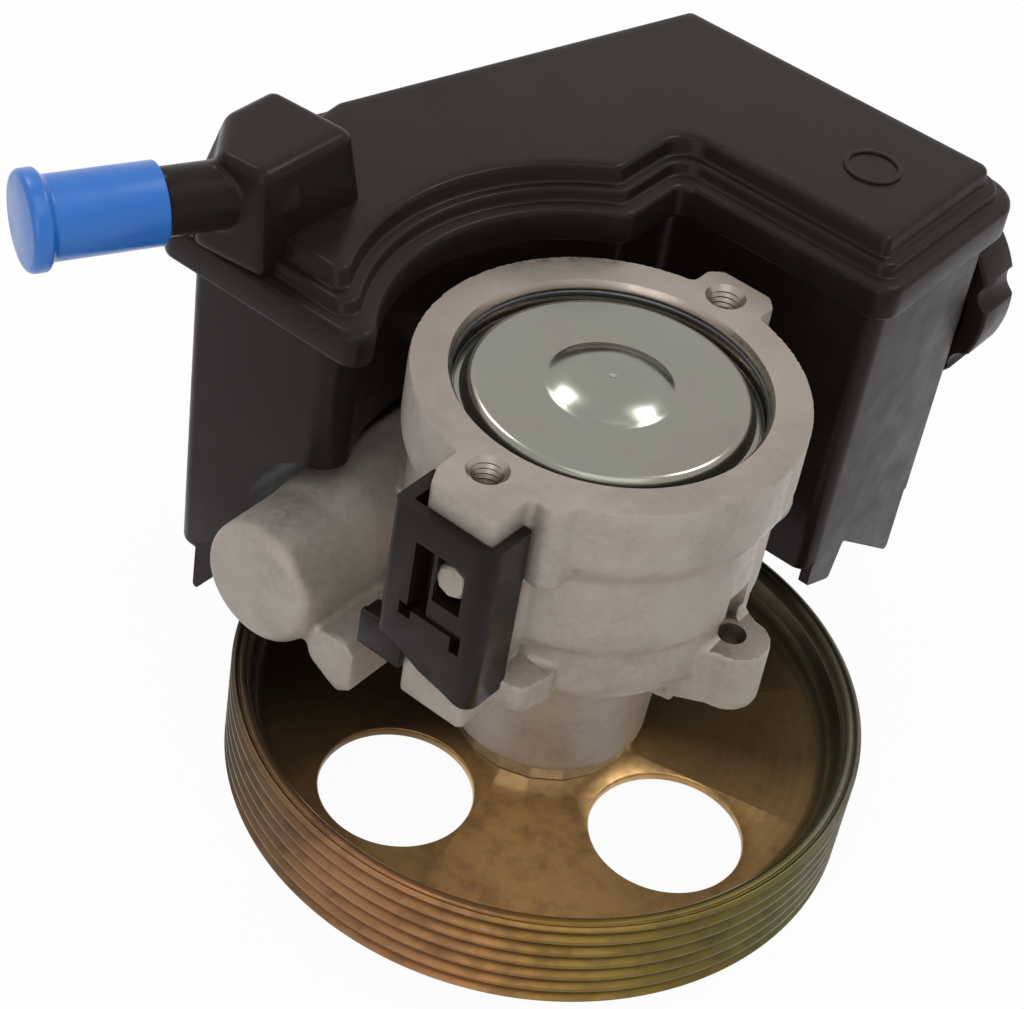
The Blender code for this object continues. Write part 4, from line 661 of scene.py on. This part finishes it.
def makeLid():
    look = lidLook
    edge = look["edge"]
    section = roundPath([
        (0.9, look["bottom"], 0), (0.35, look["bottom"] + 0.1, 0), (0.1, look["bottom"] + 0.35, 0),
        (0, look["bottom"] + 0.9, 0), (0, look["flange"], edge),
        (look["stepInset"] - 0.1, look["flange"], 0.7), (look["stepInset"] + 0.3, look["stepTop"], 0.9),
        (look["plateauInset"] - 0.1, look["stepTop"], 0.7), (look["plateauInset"] + 0.4, look["plateau"], 1.3),
        (look["plateauInset"] + 3.0, look["plateau"], 0)], False, 3)
    lid = stackOutlines("lidFine", [(lidOutline(inset), height) for inset, height in section])
    x, y = look["mark"]
    outer = look["markRadius"]
    inner = outer - look["markWall"]
    top = look["plateau"]
    mark = turnProfile("lidMark", [
        (inner, top - 1, 0), (outer, top - 1, 0), (outer, top + look["markRise"], 0.3),
        (inner, top + look["markRise"], 0.3)], 64, True)
    placeBy(mark, Matrix.Translation(Vector((x, y, 0)) * mm))
    carve(lid, mark, "UNION", "MANIFOLD")
    seatOutline = tankOutline(-look["seatGap"])
    seat = stackOutlines("lidSeat", [(seatOutline, 90), (seatOutline, look["seatTop"])])
    carve(lid, seat, solver="MANIFOLD")
    wall = look["wall"]
    hollowOutline = planOutline(look["plateauInset"] + wall, tankLook["leftInset"] + wall,
                                tankLook["backInset"] + wall, tankLook["tipCorner"])
    hollow = stackOutlines("lidHollow", [(hollowOutline, 100), (hollowOutline, look["plateau"] - wall)])
    carve(lid, hollow, solver="MANIFOLD")
    carve(lid, makeElbow(), "UNION", "MANIFOLD")
    spigotBore = addRod("spigotBore", elbowLook["bore"], (0, 0, -1), (0, 0, 48))
    placeBy(spigotBore, levelAlong(elbowLook["root"], elbowLook["heading"]))
    carve(lid, spigotBore, solver="MANIFOLD")
    x, y, z = elbowLook["root"]
    carve(lid, addRod("elbowDrop", elbowLook["drop"], (x, y, 107), (x, y, z)), solver="MANIFOLD")
    smoothShade(lid, 40)
    return lid


def makeElbow():
    look = elbowLook
    foot = lidLook["flange"] - 1
    low = [Vector(corner) for corner in look["low"]]
    high = [Vector(corner) for corner in look["high"]]
    block = stackOutlines("elbowBlock", [(low, foot), (high, look["top"])])
    softEdges(block, look["round"], 4, 25)
    x, y, z = look["root"]
    bend = turnProfile("elbowBend", [
        (0, foot, 0), (look["bend"], foot, 0), (look["bend"], z, 0), (7.2, z + 4.2, 3), (4.5, z + 6.6, 3),
        (0, z + 7.1, 0)], 64)
    placeBy(bend, Matrix.Translation(Vector((x, y, 0)) * mm))
    outer, waist, end = look["pipe"], look["waist"], look["pipeEnd"]
    pipe = turnProfile("spigotPipe", [
        (0, 0, 0), (outer, 0, 0), (outer, 20.9, 0.4), (waist, 20.9, 0.2), (waist, 35.2, 0.5), (outer, 39.2, 0.4),
        (waist, end, 0.3), (0, end, 0)], 64)
    placeBy(pipe, levelAlong(look["root"], look["heading"]))
    body = unionAll("elbowFine", [block, bend, pipe])
    finishModifier(body, "REMESH", mode="VOXEL", voxel_size=look["grain"] * mm)
    finishModifier(body, "SMOOTH", factor=0.5, iterations=look["smoothing"])
    return body


# Reservoir tank: drafted walls, the valve's arch, the filler neck and the skirts under its corners

tankLook = {
    "bottom": 31.0, "top": 105.0, "draft": 1.6, "wall": 2.4, "tipCorner": 6.0, "edge": 1.6, "neck": (3.0, 77.2),
    "neckBore": 16.1, "inset": 2.4, "leftInset": 7.2, "backInset": 9.0,
    "arch": 18.2, "archBack": 30.0, "leftSkirt": 11.5, "backSkirt": 17,
}


def tankOutline(inset, draft=0.0):
    look = tankLook
    left = look["leftInset"] + inset + draft
    return planOutline(look["inset"] + inset, left, look["backInset"] + inset, look["tipCorner"])


def makeTank():
    look = tankLook
    bottom, top, edge = look["bottom"], look["top"], look["edge"]
    rings = [(tankOutline(edge * (1 - math.sin(a)), look["draft"]), bottom + edge * (1 - math.cos(a)))
             for a in [math.pi / 2 * step / 4 for step in range(5)]]
    rings += [(tankOutline(0, look["draft"] * (top - z) / (top - bottom)), z) for z in (50, 70, 90)]
    rings.append((tankOutline(0), top))
    tank = stackOutlines("tankFine", rings)
    neckX, neckZ = look["neck"]
    neck = turnProfile("fillerNeck", [(0, 98, 0), (18.5, 98, 0), (18.5, 112.6, 0.6), (0, 112.6, 0)], 96)
    placeBy(neck, alongY(neckX, neckZ))
    carve(tank, neck, "UNION")
    for skirt in makeSkirts():
        carve(tank, skirt, "UNION")
    wall = look["wall"]
    carve(tank, makeArch("archCut", look["arch"], look["archBack"]))
    hollow = stackOutlines("tankHollow", [
        (tankOutline(wall, look["draft"]), bottom + wall), (tankOutline(wall), top + 1)])
    carve(hollow, makeArch("archWall", look["arch"] + wall, look["archBack"] + wall))
    carve(tank, hollow)
    neckBore = addRod("neckBore", look["neckBore"], (0, 0, 94), (0, 0, 116), 96)
    carve(tank, placeBy(neckBore, alongY(neckX, neckZ)))
    smoothShade(tank, 40)
    return tank


def makeArch(name, radius, back):  # drawn upright as a section, then extruded along the valve
    x, z = castLook["valve"]
    angles = [math.pi * step / 40 for step in range(41)]
    path = [(x + radius * math.cos(a), z + radius * math.sin(a), 0) for a in angles]
    path += [(x - radius, 10, 0), (x + radius, 10, 0)]
    arch = raiseOutline(name, path, -back, 40)
    return placeBy(arch, upright)


def makeSkirts():
    look = tankLook
    front = plan["front"] + look["inset"]
    left = plan["left"] + look["leftInset"] + look["draft"]
    right = plan["right"] - look["inset"]
    side = plan["notchBack"] + look["inset"]
    back = plan["back"] - look["backInset"]
    low = look["bottom"]
    wall = look["wall"]
    corner = plan["corner"]
    across = Matrix.Rotation(math.pi / 2, 4, "Z") @ upright
    leftRib = raiseOutline("leftSkirt", [
        (left + corner, low + 2, 0), (left + corner, low - look["leftSkirt"], 0.8),
        (left + corner + 9.6, low + 2, 0)], -front - wall, -front)
    backRib = raiseOutline("backSkirt", [
        (back - 2, low + 2, 0), (back - 2, low - look["backSkirt"], 1), (back - 28, low + 2, 0)],
        right - wall, right)
    stepRib = raiseOutline("stepSkirt", [
        (side + 2.5, low + 2, 0), (side + 2.5, low - 4, 0.8), (side + 12.5, low - 8, 0.8),
        (side + 14.9, low + 2, 0)], right - wall, right)
    return [placeBy(leftRib, upright), placeBy(backRib, across), placeBy(stepRib, across)]


# Screw cap with its grip lobes, turned about the filler's line

fillerLook = {
    "place": (3.0, 77.2), "radius": 24.0, "inner": 18.9, "floor": 115.2, "mouth": 105.3, "end": 117.75,
    "lobes": 8, "cut": 4.0, "cutDepth": 2.2, "phase": 29,
}


def makeFillerCap():
    look = fillerLook
    end = look["end"]
    cap = turnProfile("fillerCapFine", [
        (0, look["floor"], 0), (look["inner"], look["floor"], 0), (look["inner"], look["mouth"], 0.3),
        (look["radius"], look["mouth"], 0.9), (look["radius"], end, 1.4), (17.0, end, 0.4),
        (16.4, end - 0.8, 0.4), (0, end - 0.8, 0)], 128)
    reach = look["radius"] + look["cut"] - look["cutDepth"]
    for lobe in range(look["lobes"]):
        angle = math.radians(look["phase"]) + fullTurn * lobe / look["lobes"]
        cutter = addRod("lobeCutter", look["cut"], (0, 0, look["mouth"] - 1), (0, 0, end + 1), 40)
        placeBy(cutter, Matrix.Translation(Vector((reach * math.cos(angle), reach * math.sin(angle), 0)) * mm))
        carve(cap, cutter)
    softEdges(cap, 0.45, 2, 40)
    placeBy(cap, alongY(*look["place"]))
    smoothShade(cap, 40)
    return cap


# Protective cap on the return spigot, with its flared lip at the far end

spigotCapLook = {
    "inner": 6.9, "outer": 8.0, "lip": 9.6, "mouth": 21.1, "floor": 45.5, "flare": (42.4, 43.6), "end": 47.1,
}


def makeSpigotCap():
    look = spigotCapLook
    inner, outer, lip = look["inner"], look["outer"], look["lip"]
    flareFoot, flareTop = look["flare"]
    cap = turnProfile("spigotCapFine", [
        (0, look["floor"], 0), (inner, look["floor"], 0.4), (inner, look["mouth"], 0.3),
        (outer, look["mouth"], 0.4), (outer, flareFoot, 0.9), (lip, flareTop, 0.7), (lip, look["end"], 1.3),
        (0, look["end"], 0)], 96)
    placeBy(cap, levelAlong(elbowLook["root"], elbowLook["heading"]))
    smoothShade(cap, 50)
    return cap


# Bracket clip: a moulded channel over the front ear's rib with its sunk window

clipLook = {
    "left": -9.6, "right": 13.4, "top": 97.6, "front": -51.0, "plateBack": -48.6, "sideBack": -39.4,
    "sideRound": 3.6, "slot": (-3.2, 0.8), "view": (1.6, 7.9), "window": (74.6, 91.0),
}


def makeClip():
    look = clipLook
    left, right, top = look["left"], look["right"], look["top"]
    clip = raiseOutline("clipFine", [
        (left, look["sideBack"], 0.8), (left, look["front"], 1.6), (right, look["front"], look["sideRound"]),
        (right, look["sideBack"], 0.8)], 50, top, 8)
    face = raiseOutline("clipFace", [
        (left - 5, top + 5, 0), (left - 5, 66.4, 0), (left, 65.8, 1.2), (-4.4, 64.6, 3), (1.4, 61.8, 4),
        (7.6, 60.4, 4), (12.0, 58.9, 3), (right + 5, 58.5, 0), (right + 5, top + 5, 0)],
        -look["sideBack"] - 5, -look["front"] + 5)
    placeBy(face, upright)
    carve(clip, face, "INTERSECT")
    softEdges(clip, 0.8, 3, 40)
    carve(clip, addBlock("ribChannel", (-6.7, look["plateBack"], 40), (11.3, -30, top + 4)))
    carve(clip, addBlock("clipInner", (-5.6, look["plateBack"] - 0.2, 70.8), (9.2, -44.9, 91.4)), "UNION")
    hook = addBlock("clipHook", (left - 4.6, -49.8, 57.4), (-6.7, -44.8, 65.8))
    tongue = addBlock("clipTongue", (left - 4.4, -50.4, 58.0), (-3.4, -48.6, 66.5))
    for arm, width, segments in ((hook, 0.7, 3), (tongue, 0.5, 2)):
        softEdges(arm, width, segments, 40)
        carve(clip, arm, "UNION")
    slotLeft, slotRight = look["slot"]
    viewLeft, viewRight = look["view"]
    low, high = look["window"]
    front = look["front"]
    deep = (front - 1, -45.6)
    through = (front - 1, -40)
    sunk = (front - 1, front + 0.6)
    cuts = (
        (slotLeft, viewRight + 1.6, low, high, sunk), (slotLeft, slotRight, low, high, deep),
        (viewLeft, viewRight, low + 5, high, through),
        (slotLeft - 1.8, slotLeft + 1, low - 2.2, low + 0.8, deep),
        (viewRight - 0.6, viewRight + 1.6, low - 3.4, low, deep))
    for x0, x1, z0, z1, depth in cuts:
        carve(clip, addBlock("clipCutter", (x0, depth[0], z0), (x1, depth[1], z1)))
    softEdges(clip, 0.3, 2, 50)
    smoothShade(clip, 40)
    return clip


# Finishes

def fromScreen(*colour):  # screen values of 0 to 255 turned into the shader's linear ones
    return tuple((c / 255 / 12.92) if c <= 10 else ((c / 255 + 0.055) / 1.055) ** 2.4 for c in colour)


finishLook = {
    "plastic": (35, 26, 22), "plasticDark": (30, 22, 19), "castLight": (168, 157, 147),
    "castDark": (142, 132, 123), "castBright": (178, 168, 158), "machined": (162, 150, 140),
    "zinc": (138, 137, 126),
    "zincWarm": (134, 127, 119), "zincCool": (134, 137, 127), "chromate": (129, 97, 48), "umber": (64, 50, 34),
    "blue": (38, 114, 202), "blueDark": (34, 108, 196), "steel": (176, 176, 178), "darkSteel": (92, 92, 94),
    "rubber": (28, 28, 28), "rubberDark": (20, 20, 20), "bronze": (176, 141, 87), "mesh": (194, 184, 163),
    "meshDark": (180, 170, 150),
}


def toneOf(name):
    return fromScreen(*finishLook[name])


plasticLook = {"cloud": 38, "wear": 130, "wave": 55, "grain": 0.35}
castGrain = {"cloud": 60, "speck": 700, "cloudShare": 0.65}
turnedLook = {"metal": 0.9, "speck": 420, "cloud": 45, "rings": 9000, "drift": 6}


def makePlastic(name, light, dark, roughness, shine=0.14):
    look = plasticLook
    material, tree, shader = newMaterial(name, fromScreen(*light), roughness, 0)
    point = objectPoint(tree)
    cloud = addNoise(tree, point, look["cloud"], 4, 0.6)
    colour = addMix(tree, addRange(tree, cloud, 0, 1, 0.35, 0.65), fromScreen(*dark), fromScreen(*light))
    tree.links.new(colour, shader.inputs["Base Color"])
    wear = addNoise(tree, point, look["wear"], 3, 0.6)
    tree.links.new(addRange(tree, wear, roughness - 0.07, roughness + 0.09, 0.3, 0.7), shader.inputs["Roughness"])
    grain = addNoise(tree, point, 1000 / look["grain"] * 0.9, 2, 0.5)
    shader.inputs["Specular IOR Level"].default_value = shine
    wave = addNoise(tree, point, look["wave"], 2, 0.5)
    low = addBump(tree, shader, wave, 0.08, 0.5)
    addBump(tree, shader, grain, 0.1, 0.03, low)
    return material


def makeCastMetal(name):
    material, tree, shader = newMaterial(name, toneOf("castLight"), 0.55, 0.35)
    point = objectPoint(tree)
    cloud = addNoise(tree, point, castGrain["cloud"], 5, 0.62)
    speck = addNoise(tree, point, castGrain["speck"], 3, 0.6)
    cloudPart = addMath(tree, "MULTIPLY", cloud, castGrain["cloudShare"])
    both = addMath(tree, "ADD", cloudPart, addMath(tree, "MULTIPLY", speck, 1 - castGrain["cloudShare"]))
    colour = addRamp(tree, both, [
        (0.3, toneOf("castDark")), (0.52, toneOf("castLight")),
        (0.72, toneOf("castBright"))])
    tree.links.new(colour, shader.inputs["Base Color"])
    tree.links.new(addRange(tree, speck, 0.44, 0.62, 0.3, 0.7), shader.inputs["Roughness"])
    low = addBump(tree, shader, cloud, 0.12, 0.25)
    addBump(tree, shader, speck, 0.3, 0.08, low)
    return material


def makeMachinedMetal(name, colour, roughness, rings=True):  # rings are the fine turning lines about the shaft
    look = turnedLook
    material, tree, shader = newMaterial(name, fromScreen(*colour), roughness, look["metal"])
    point = objectPoint(tree)
    radius = addPlace(tree, point)[2]
    speck = addNoise(tree, point, look["speck"], 3, 0.6)
    cloud = addNoise(tree, point, look["cloud"], 3, 0.5)
    waver = addMath(tree, "MULTIPLY", cloud, look["drift"])
    lines = addMath(tree, "SINE", addMath(tree, "ADD", addMath(tree, "MULTIPLY", radius, look["rings"]), waver))
    darker = fromScreen(*[c * 0.9 for c in colour])
    tone = addMix(tree, addRange(tree, cloud, 0, 1, 0.35, 0.65), darker, fromScreen(*colour))
    tree.links.new(tone, shader.inputs["Base Color"])
    tree.links.new(addRange(tree, speck, roughness - 0.07, roughness + 0.1, 0.3, 0.7), shader.inputs["Roughness"])
    if rings:
        low = addBump(tree, shader, lines, 0.12, 0.02)
        addBump(tree, shader, speck, 0.2, 0.03, low)
    else:
        addBump(tree, shader, speck, 0.2, 0.04)
    return material


def makeZinc(name):
    material, tree, shader = newMaterial(name, toneOf("zinc"), 0.24, 0.9)
    point = objectPoint(tree)
    cloud = addNoise(tree, point, 32, 3, 0.5)
    fine = addNoise(tree, point, 150, 4, 0.6)
    tone = addRamp(tree, cloud, [
        (0.34, toneOf("zincWarm")), (0.5, toneOf("zinc")),
        (0.7, toneOf("zincCool"))])
    tree.links.new(tone, shader.inputs["Base Color"])
    tree.links.new(addRange(tree, fine, 0.15, 0.25, 0.3, 0.7), shader.inputs["Roughness"])
    addBump(tree, shader, fine, 0.05, 0.05)
    return material


chromateTintAndShadeLook = {
    "metal": 0.75, "webEdge": (57, 62), "drift": 0.1, "cloud": 26, "fine": 160, "rings": 2600, "waver": 5,
    # On the web the colour keeps one gold-brown all round; its darkening towards the back and the left is painted
    # shade.
    "web": [
        (0.0, (80, 63, 42)), (0.1, (74, 57, 38)), (0.16, (104, 81, 52)), (0.21, (178, 143, 94)),
        (0.25, (216, 174, 114)), (0.38, (216, 174, 114)), (0.47, (208, 167, 109)), (0.53, (190, 152, 98)),
        (0.59, (120, 94, 61)), (0.75, (84, 66, 44)), (1.0, (80, 63, 42))],
    # On the rim the passivation's tint drifts from reddish through yellow to greenish; its darkening on the left
    # and the back is painted shade.
    "rim": [
        (0.0, (72, 60, 44)), (0.14, (74, 60, 44)), (0.2, (116, 87, 59)), (0.26, (154, 110, 76)),
        (0.31, (146, 104, 65)), (0.36, (127, 96, 46)), (0.41, (118, 98, 42)), (0.45, (100, 88, 40)),
        (0.5, (92, 86, 50)), (0.55, (104, 100, 82)), (0.62, (84, 80, 60)), (0.8, (76, 66, 48)),
        (1.0, (72, 60, 44))],
}


def makeChromateAndShade(name):  # colour drifts with the angle, one way on the rim, another on the web: on the rim the passivation's tint together with painted shade, on the web painted shade alone, darker towards the back and the left
    look = chromateTintAndShadeLook
    material, tree, shader = newMaterial(name, toneOf("chromate"), 0.34, look["metal"])
    point = objectPoint(tree)
    x, y, radius = addPlace(tree, point)
    around = addMath(tree, "MULTIPLY", addMath(tree, "ARCTAN2", y, x), 0.5 / math.pi)
    drift = addNoise(tree, point, look["cloud"], 3, 0.55)
    fine = addNoise(tree, point, look["fine"], 4, 0.6)
    shift = addMath(tree, "ADD", addMath(tree, "MULTIPLY", drift, look["drift"]), 0.5 - look["drift"] / 2)
    place = addMath(tree, "FRACT", addMath(tree, "ADD", around, shift))
    # the rim's ramp: passivation tint, with painted shade on the left and the back
    rimTintAndShade = addRamp(tree, place, [(stop, fromScreen(*colour)) for stop, colour in look["rim"]])
    # the web's ramp: painted shade, darker towards the back and the left
    web = addRamp(tree, place, [(stop, fromScreen(*colour)) for stop, colour in look["web"]])
    edge = addRange(tree, radius, 0, 1, look["webEdge"][0] * mm, look["webEdge"][1] * mm)
    tone = addMix(tree, edge, web, rimTintAndShade)
    colour = addMix(tree, addRange(tree, fine, 0.0, 0.5, 0.45, 0.72), tone, toneOf("umber"))
    tree.links.new(colour, shader.inputs["Base Color"])
    tree.links.new(addRange(tree, fine, 0.27, 0.42, 0.3, 0.7), shader.inputs["Roughness"])
    waver = addMath(tree, "MULTIPLY", drift, look["waver"])
    rings = addMath(tree, "SINE", addMath(tree, "ADD", addMath(tree, "MULTIPLY", radius, look["rings"]), waver))
    low = addBump(tree, shader, rings, 0.1, 0.05)
    addBump(tree, shader, fine, 0.12, 0.05, low)
    return material


def makeMaterials():
    look = finishLook
    return {
        "plastic": makePlastic("mouldedPlastic", look["plastic"], look["plasticDark"], 0.3, 0.12),
        "blue": makePlastic("bluePlastic", look["blue"], look["blueDark"], 0.27, 0.5),
        "rubber": makePlastic("sealRubber", look["rubber"], look["rubberDark"], 0.6),
        "mesh": makePlastic("palePlastic", look["mesh"], look["meshDark"], 0.5),
        "cast": makeCastMetal("castAlloy"),
        "machined": makeMachinedMetal("machinedAlloy", look["machined"], 0.3),
        "zinc": makeZinc("zincPlate"),
        "steel": makeMachinedMetal("turnedSteel", look["steel"], 0.3),
        "dark_steel": makeMachinedMetal("darkSteel", look["darkSteel"], 0.4, False),
        "bronze": makeMachinedMetal("bushBronze", look["bronze"], 0.4),
        "chromate": makeChromateAndShade("yellowChromateAndShade"),
    }


paintLook = {
    "flat": 0.98, "top": 102.9, "bore": 32.0, "earHole": 4.6, "sideBore": 4.0, "sideReach": 37,
    "valveBore": 7.8,
}


def paintMachined(casting, materials):  # the faces that the cutter left, chosen by place and normal
    look = paintLook
    casting.data.materials.append(materials["machined"])
    turn = math.radians(castLook["sideAngle"])
    side = (look["sideReach"] * math.cos(turn), look["sideReach"] * math.sin(turn))
    for face in casting.data.polygons:
        x, y, z = face.center / mm
        flat = face.normal.z > look["flat"]
        flatTop = flat and z > look["top"]
        sideTop = flat and abs(z - castLook["sideTop"]) < 0.02 and x > 30
        if flatTop or sideTop:
            face.use_smooth = False
        bore = z > 60 and math.hypot(x, y) < look["bore"]
        earHole = z > 86 and min(math.dist((x, y), spot) for spot in castLook["earHoles"]) < look["earHole"]
        sideBore = math.dist((x, y), side) < look["sideBore"]
        valveBore = y > -43 and math.dist((x, z), castLook["valve"]) < look["valveBore"]
        if flatTop or bore or earHole or sideTop or sideBore or valveBore:
            face.material_index = 1


# Everything put together

def dressFrameNodes(materials):
    for entry in frame["record"]["subparts"]:
        for place in frame["nodes"][entry["node"]].material_slots:
            place.material = materials[entry["material_slot"]]


# Fitted to the photo: place, and the directions to the right, up and back of the picture

cameraLook = {
    "place": (0.191255, -0.331264, 0.396852), "right": (0.770665, 0.622527, 0.136150),
    "up": (-0.493407, 0.447727, 0.745716), "back": (0.403269, -0.641874, 0.652206), "lens": 90.33, "sensor": 36,
    "clipStart": 0.01,
}


def makeCamera():
    look = cameraLook
    data = bpy.data.cameras.new("photoCamera")
    data.lens = look["lens"]
    data.sensor_width = look["sensor"]
    data.sensor_fit = "HORIZONTAL"
    data.clip_start = look["clipStart"]
    camera = bpy.data.objects.new("photoCamera", data)
    turn = Matrix((look["right"], look["up"], look["back"])).transposed().to_4x4()
    camera.matrix_world = Matrix.Translation(look["place"]) @ turn
    bpy.context.scene.collection.objects.link(camera)
    bpy.context.scene.camera = camera


lightLook = {
    "world": 0.4, "aim": (0, 0.02, 0.06),
    "lamps": [
        ("overheadSoftbox", (0.3, -0.25, 1.05), 0.7, 1.9),
        ("leftSoftbox", (-0.7, 0.13, 1.03), 0.32, 2.8),
        ("rightSoftbox", (0.235, 0.605, 1.07), 0.32, 2.6),
        ("frontFill", (0.35, -1.05, 0.45), 0.7, 2.6),
    ],
}


def makeLights():
    world = bpy.context.scene.world or bpy.data.worlds.new("studioWorld")
    bpy.context.scene.world = world
    world.use_nodes = True
    tree = world.node_tree
    tree.nodes.clear()
    output = addNode(tree, "ShaderNodeOutputWorld")
    ambient = addNode(tree, "ShaderNodeBackground", Color=(1, 1, 1, 1), Strength=lightLook["world"])
    seen = addNode(tree, "ShaderNodeBackground", Color=(1, 1, 1, 1), Strength=1.0)
    mix = addNode(tree, "ShaderNodeMixShader")
    tree.links.new(addSeenRay(tree), mix.inputs[0])
    tree.links.new(ambient.outputs[0], mix.inputs[1])
    tree.links.new(seen.outputs[0], mix.inputs[2])
    tree.links.new(mix.outputs[0], output.inputs[0])
    for name, place, size, power in lightLook["lamps"]:
        data = bpy.data.lights.new(name, "AREA")
        data.shape = "SQUARE"
        data.size = size
        data.energy = power
        lamp = bpy.data.objects.new(name, data)
        lamp.location = place
        aim = Vector(lightLook["aim"]) - Vector(place)
        lamp.rotation_euler = aim.to_track_quat("-Z", "Y").to_euler()
        bpy.context.scene.collection.objects.link(lamp)


# The floor looks white to the camera, and shades and bounces light as a pale board

floorLook = {"size": 6, "level": -0.0004, "tone": 0.9, "roughness": 0.9, "glowShare": 0.96}


def makeFloor():
    look = floorLook
    clearSelection()
    bpy.ops.mesh.primitive_plane_add(size=look["size"], location=(0, 0, look["level"]))
    floor = nameIt(bpy.context.object, "studioFloor")
    material, tree, shader = newMaterial("paleFloor", (look["tone"],) * 3, look["roughness"], 0)
    output = tree.nodes["Material Output"]
    glow = addNode(tree, "ShaderNodeEmission", Color=(1, 1, 1, 1), Strength=1.0)
    mix = addNode(tree, "ShaderNodeMixShader")
    tree.links.new(addMath(tree, "MULTIPLY", addSeenRay(tree), look["glowShare"]), mix.inputs[0])
    tree.links.new(shader.outputs[0], mix.inputs[1])
    tree.links.new(glow.outputs[0], mix.inputs[2])
    tree.links.new(mix.outputs[0], output.inputs["Surface"])
    floor.data.materials.append(material)


scene = bpy.context.scene
scene.view_settings.view_transform = "Standard"
materials = makeMaterials()
dressFrameNodes(materials)
print("materials ready")

dress(makePulley(), "rotating_group", materials["chromate"], "chromate", "pulley")
print("pulley ready")
casting = makeCasting()
dress(casting, "pump_body", materials["cast"], "cast", "pump_housing")
paintMachined(casting, materials)
print("casting ready", len(casting.data.polygons))
cover = makeCover()
smoothShade(cover, 45)
dress(cover, "pump_body", materials["zinc"], "zinc", "rear_cover")
# The wire ring takes the darker steel finish so that it reads as the shaded gap between the cover and the bore:
# this darkness is painted shade.
dress(makeWireRing(), "pump_body", materials["dark_steel"], "zinc", "cover_ring")
print("cover ready")
dress(makeLid(), "pump_body", materials["plastic"], "plastic", "reservoir_lid")
print("lid ready")
dress(makeTank(), "pump_body", materials["plastic"], "plastic", "reservoir_tank")
print("tank ready")
dress(makeFillerCap(), "filler_cap_body", materials["plastic"], "plastic", "filler_cap")
dress(makeSpigotCap(), "spigot_cap_body", materials["blue"], "blue", "spigot_cap")
dress(makeClip(), "pump_body", materials["plastic"], "plastic", "bracket_clip")
print("caps and clip ready")
makeFloor()
makeLights()
makeCamera()
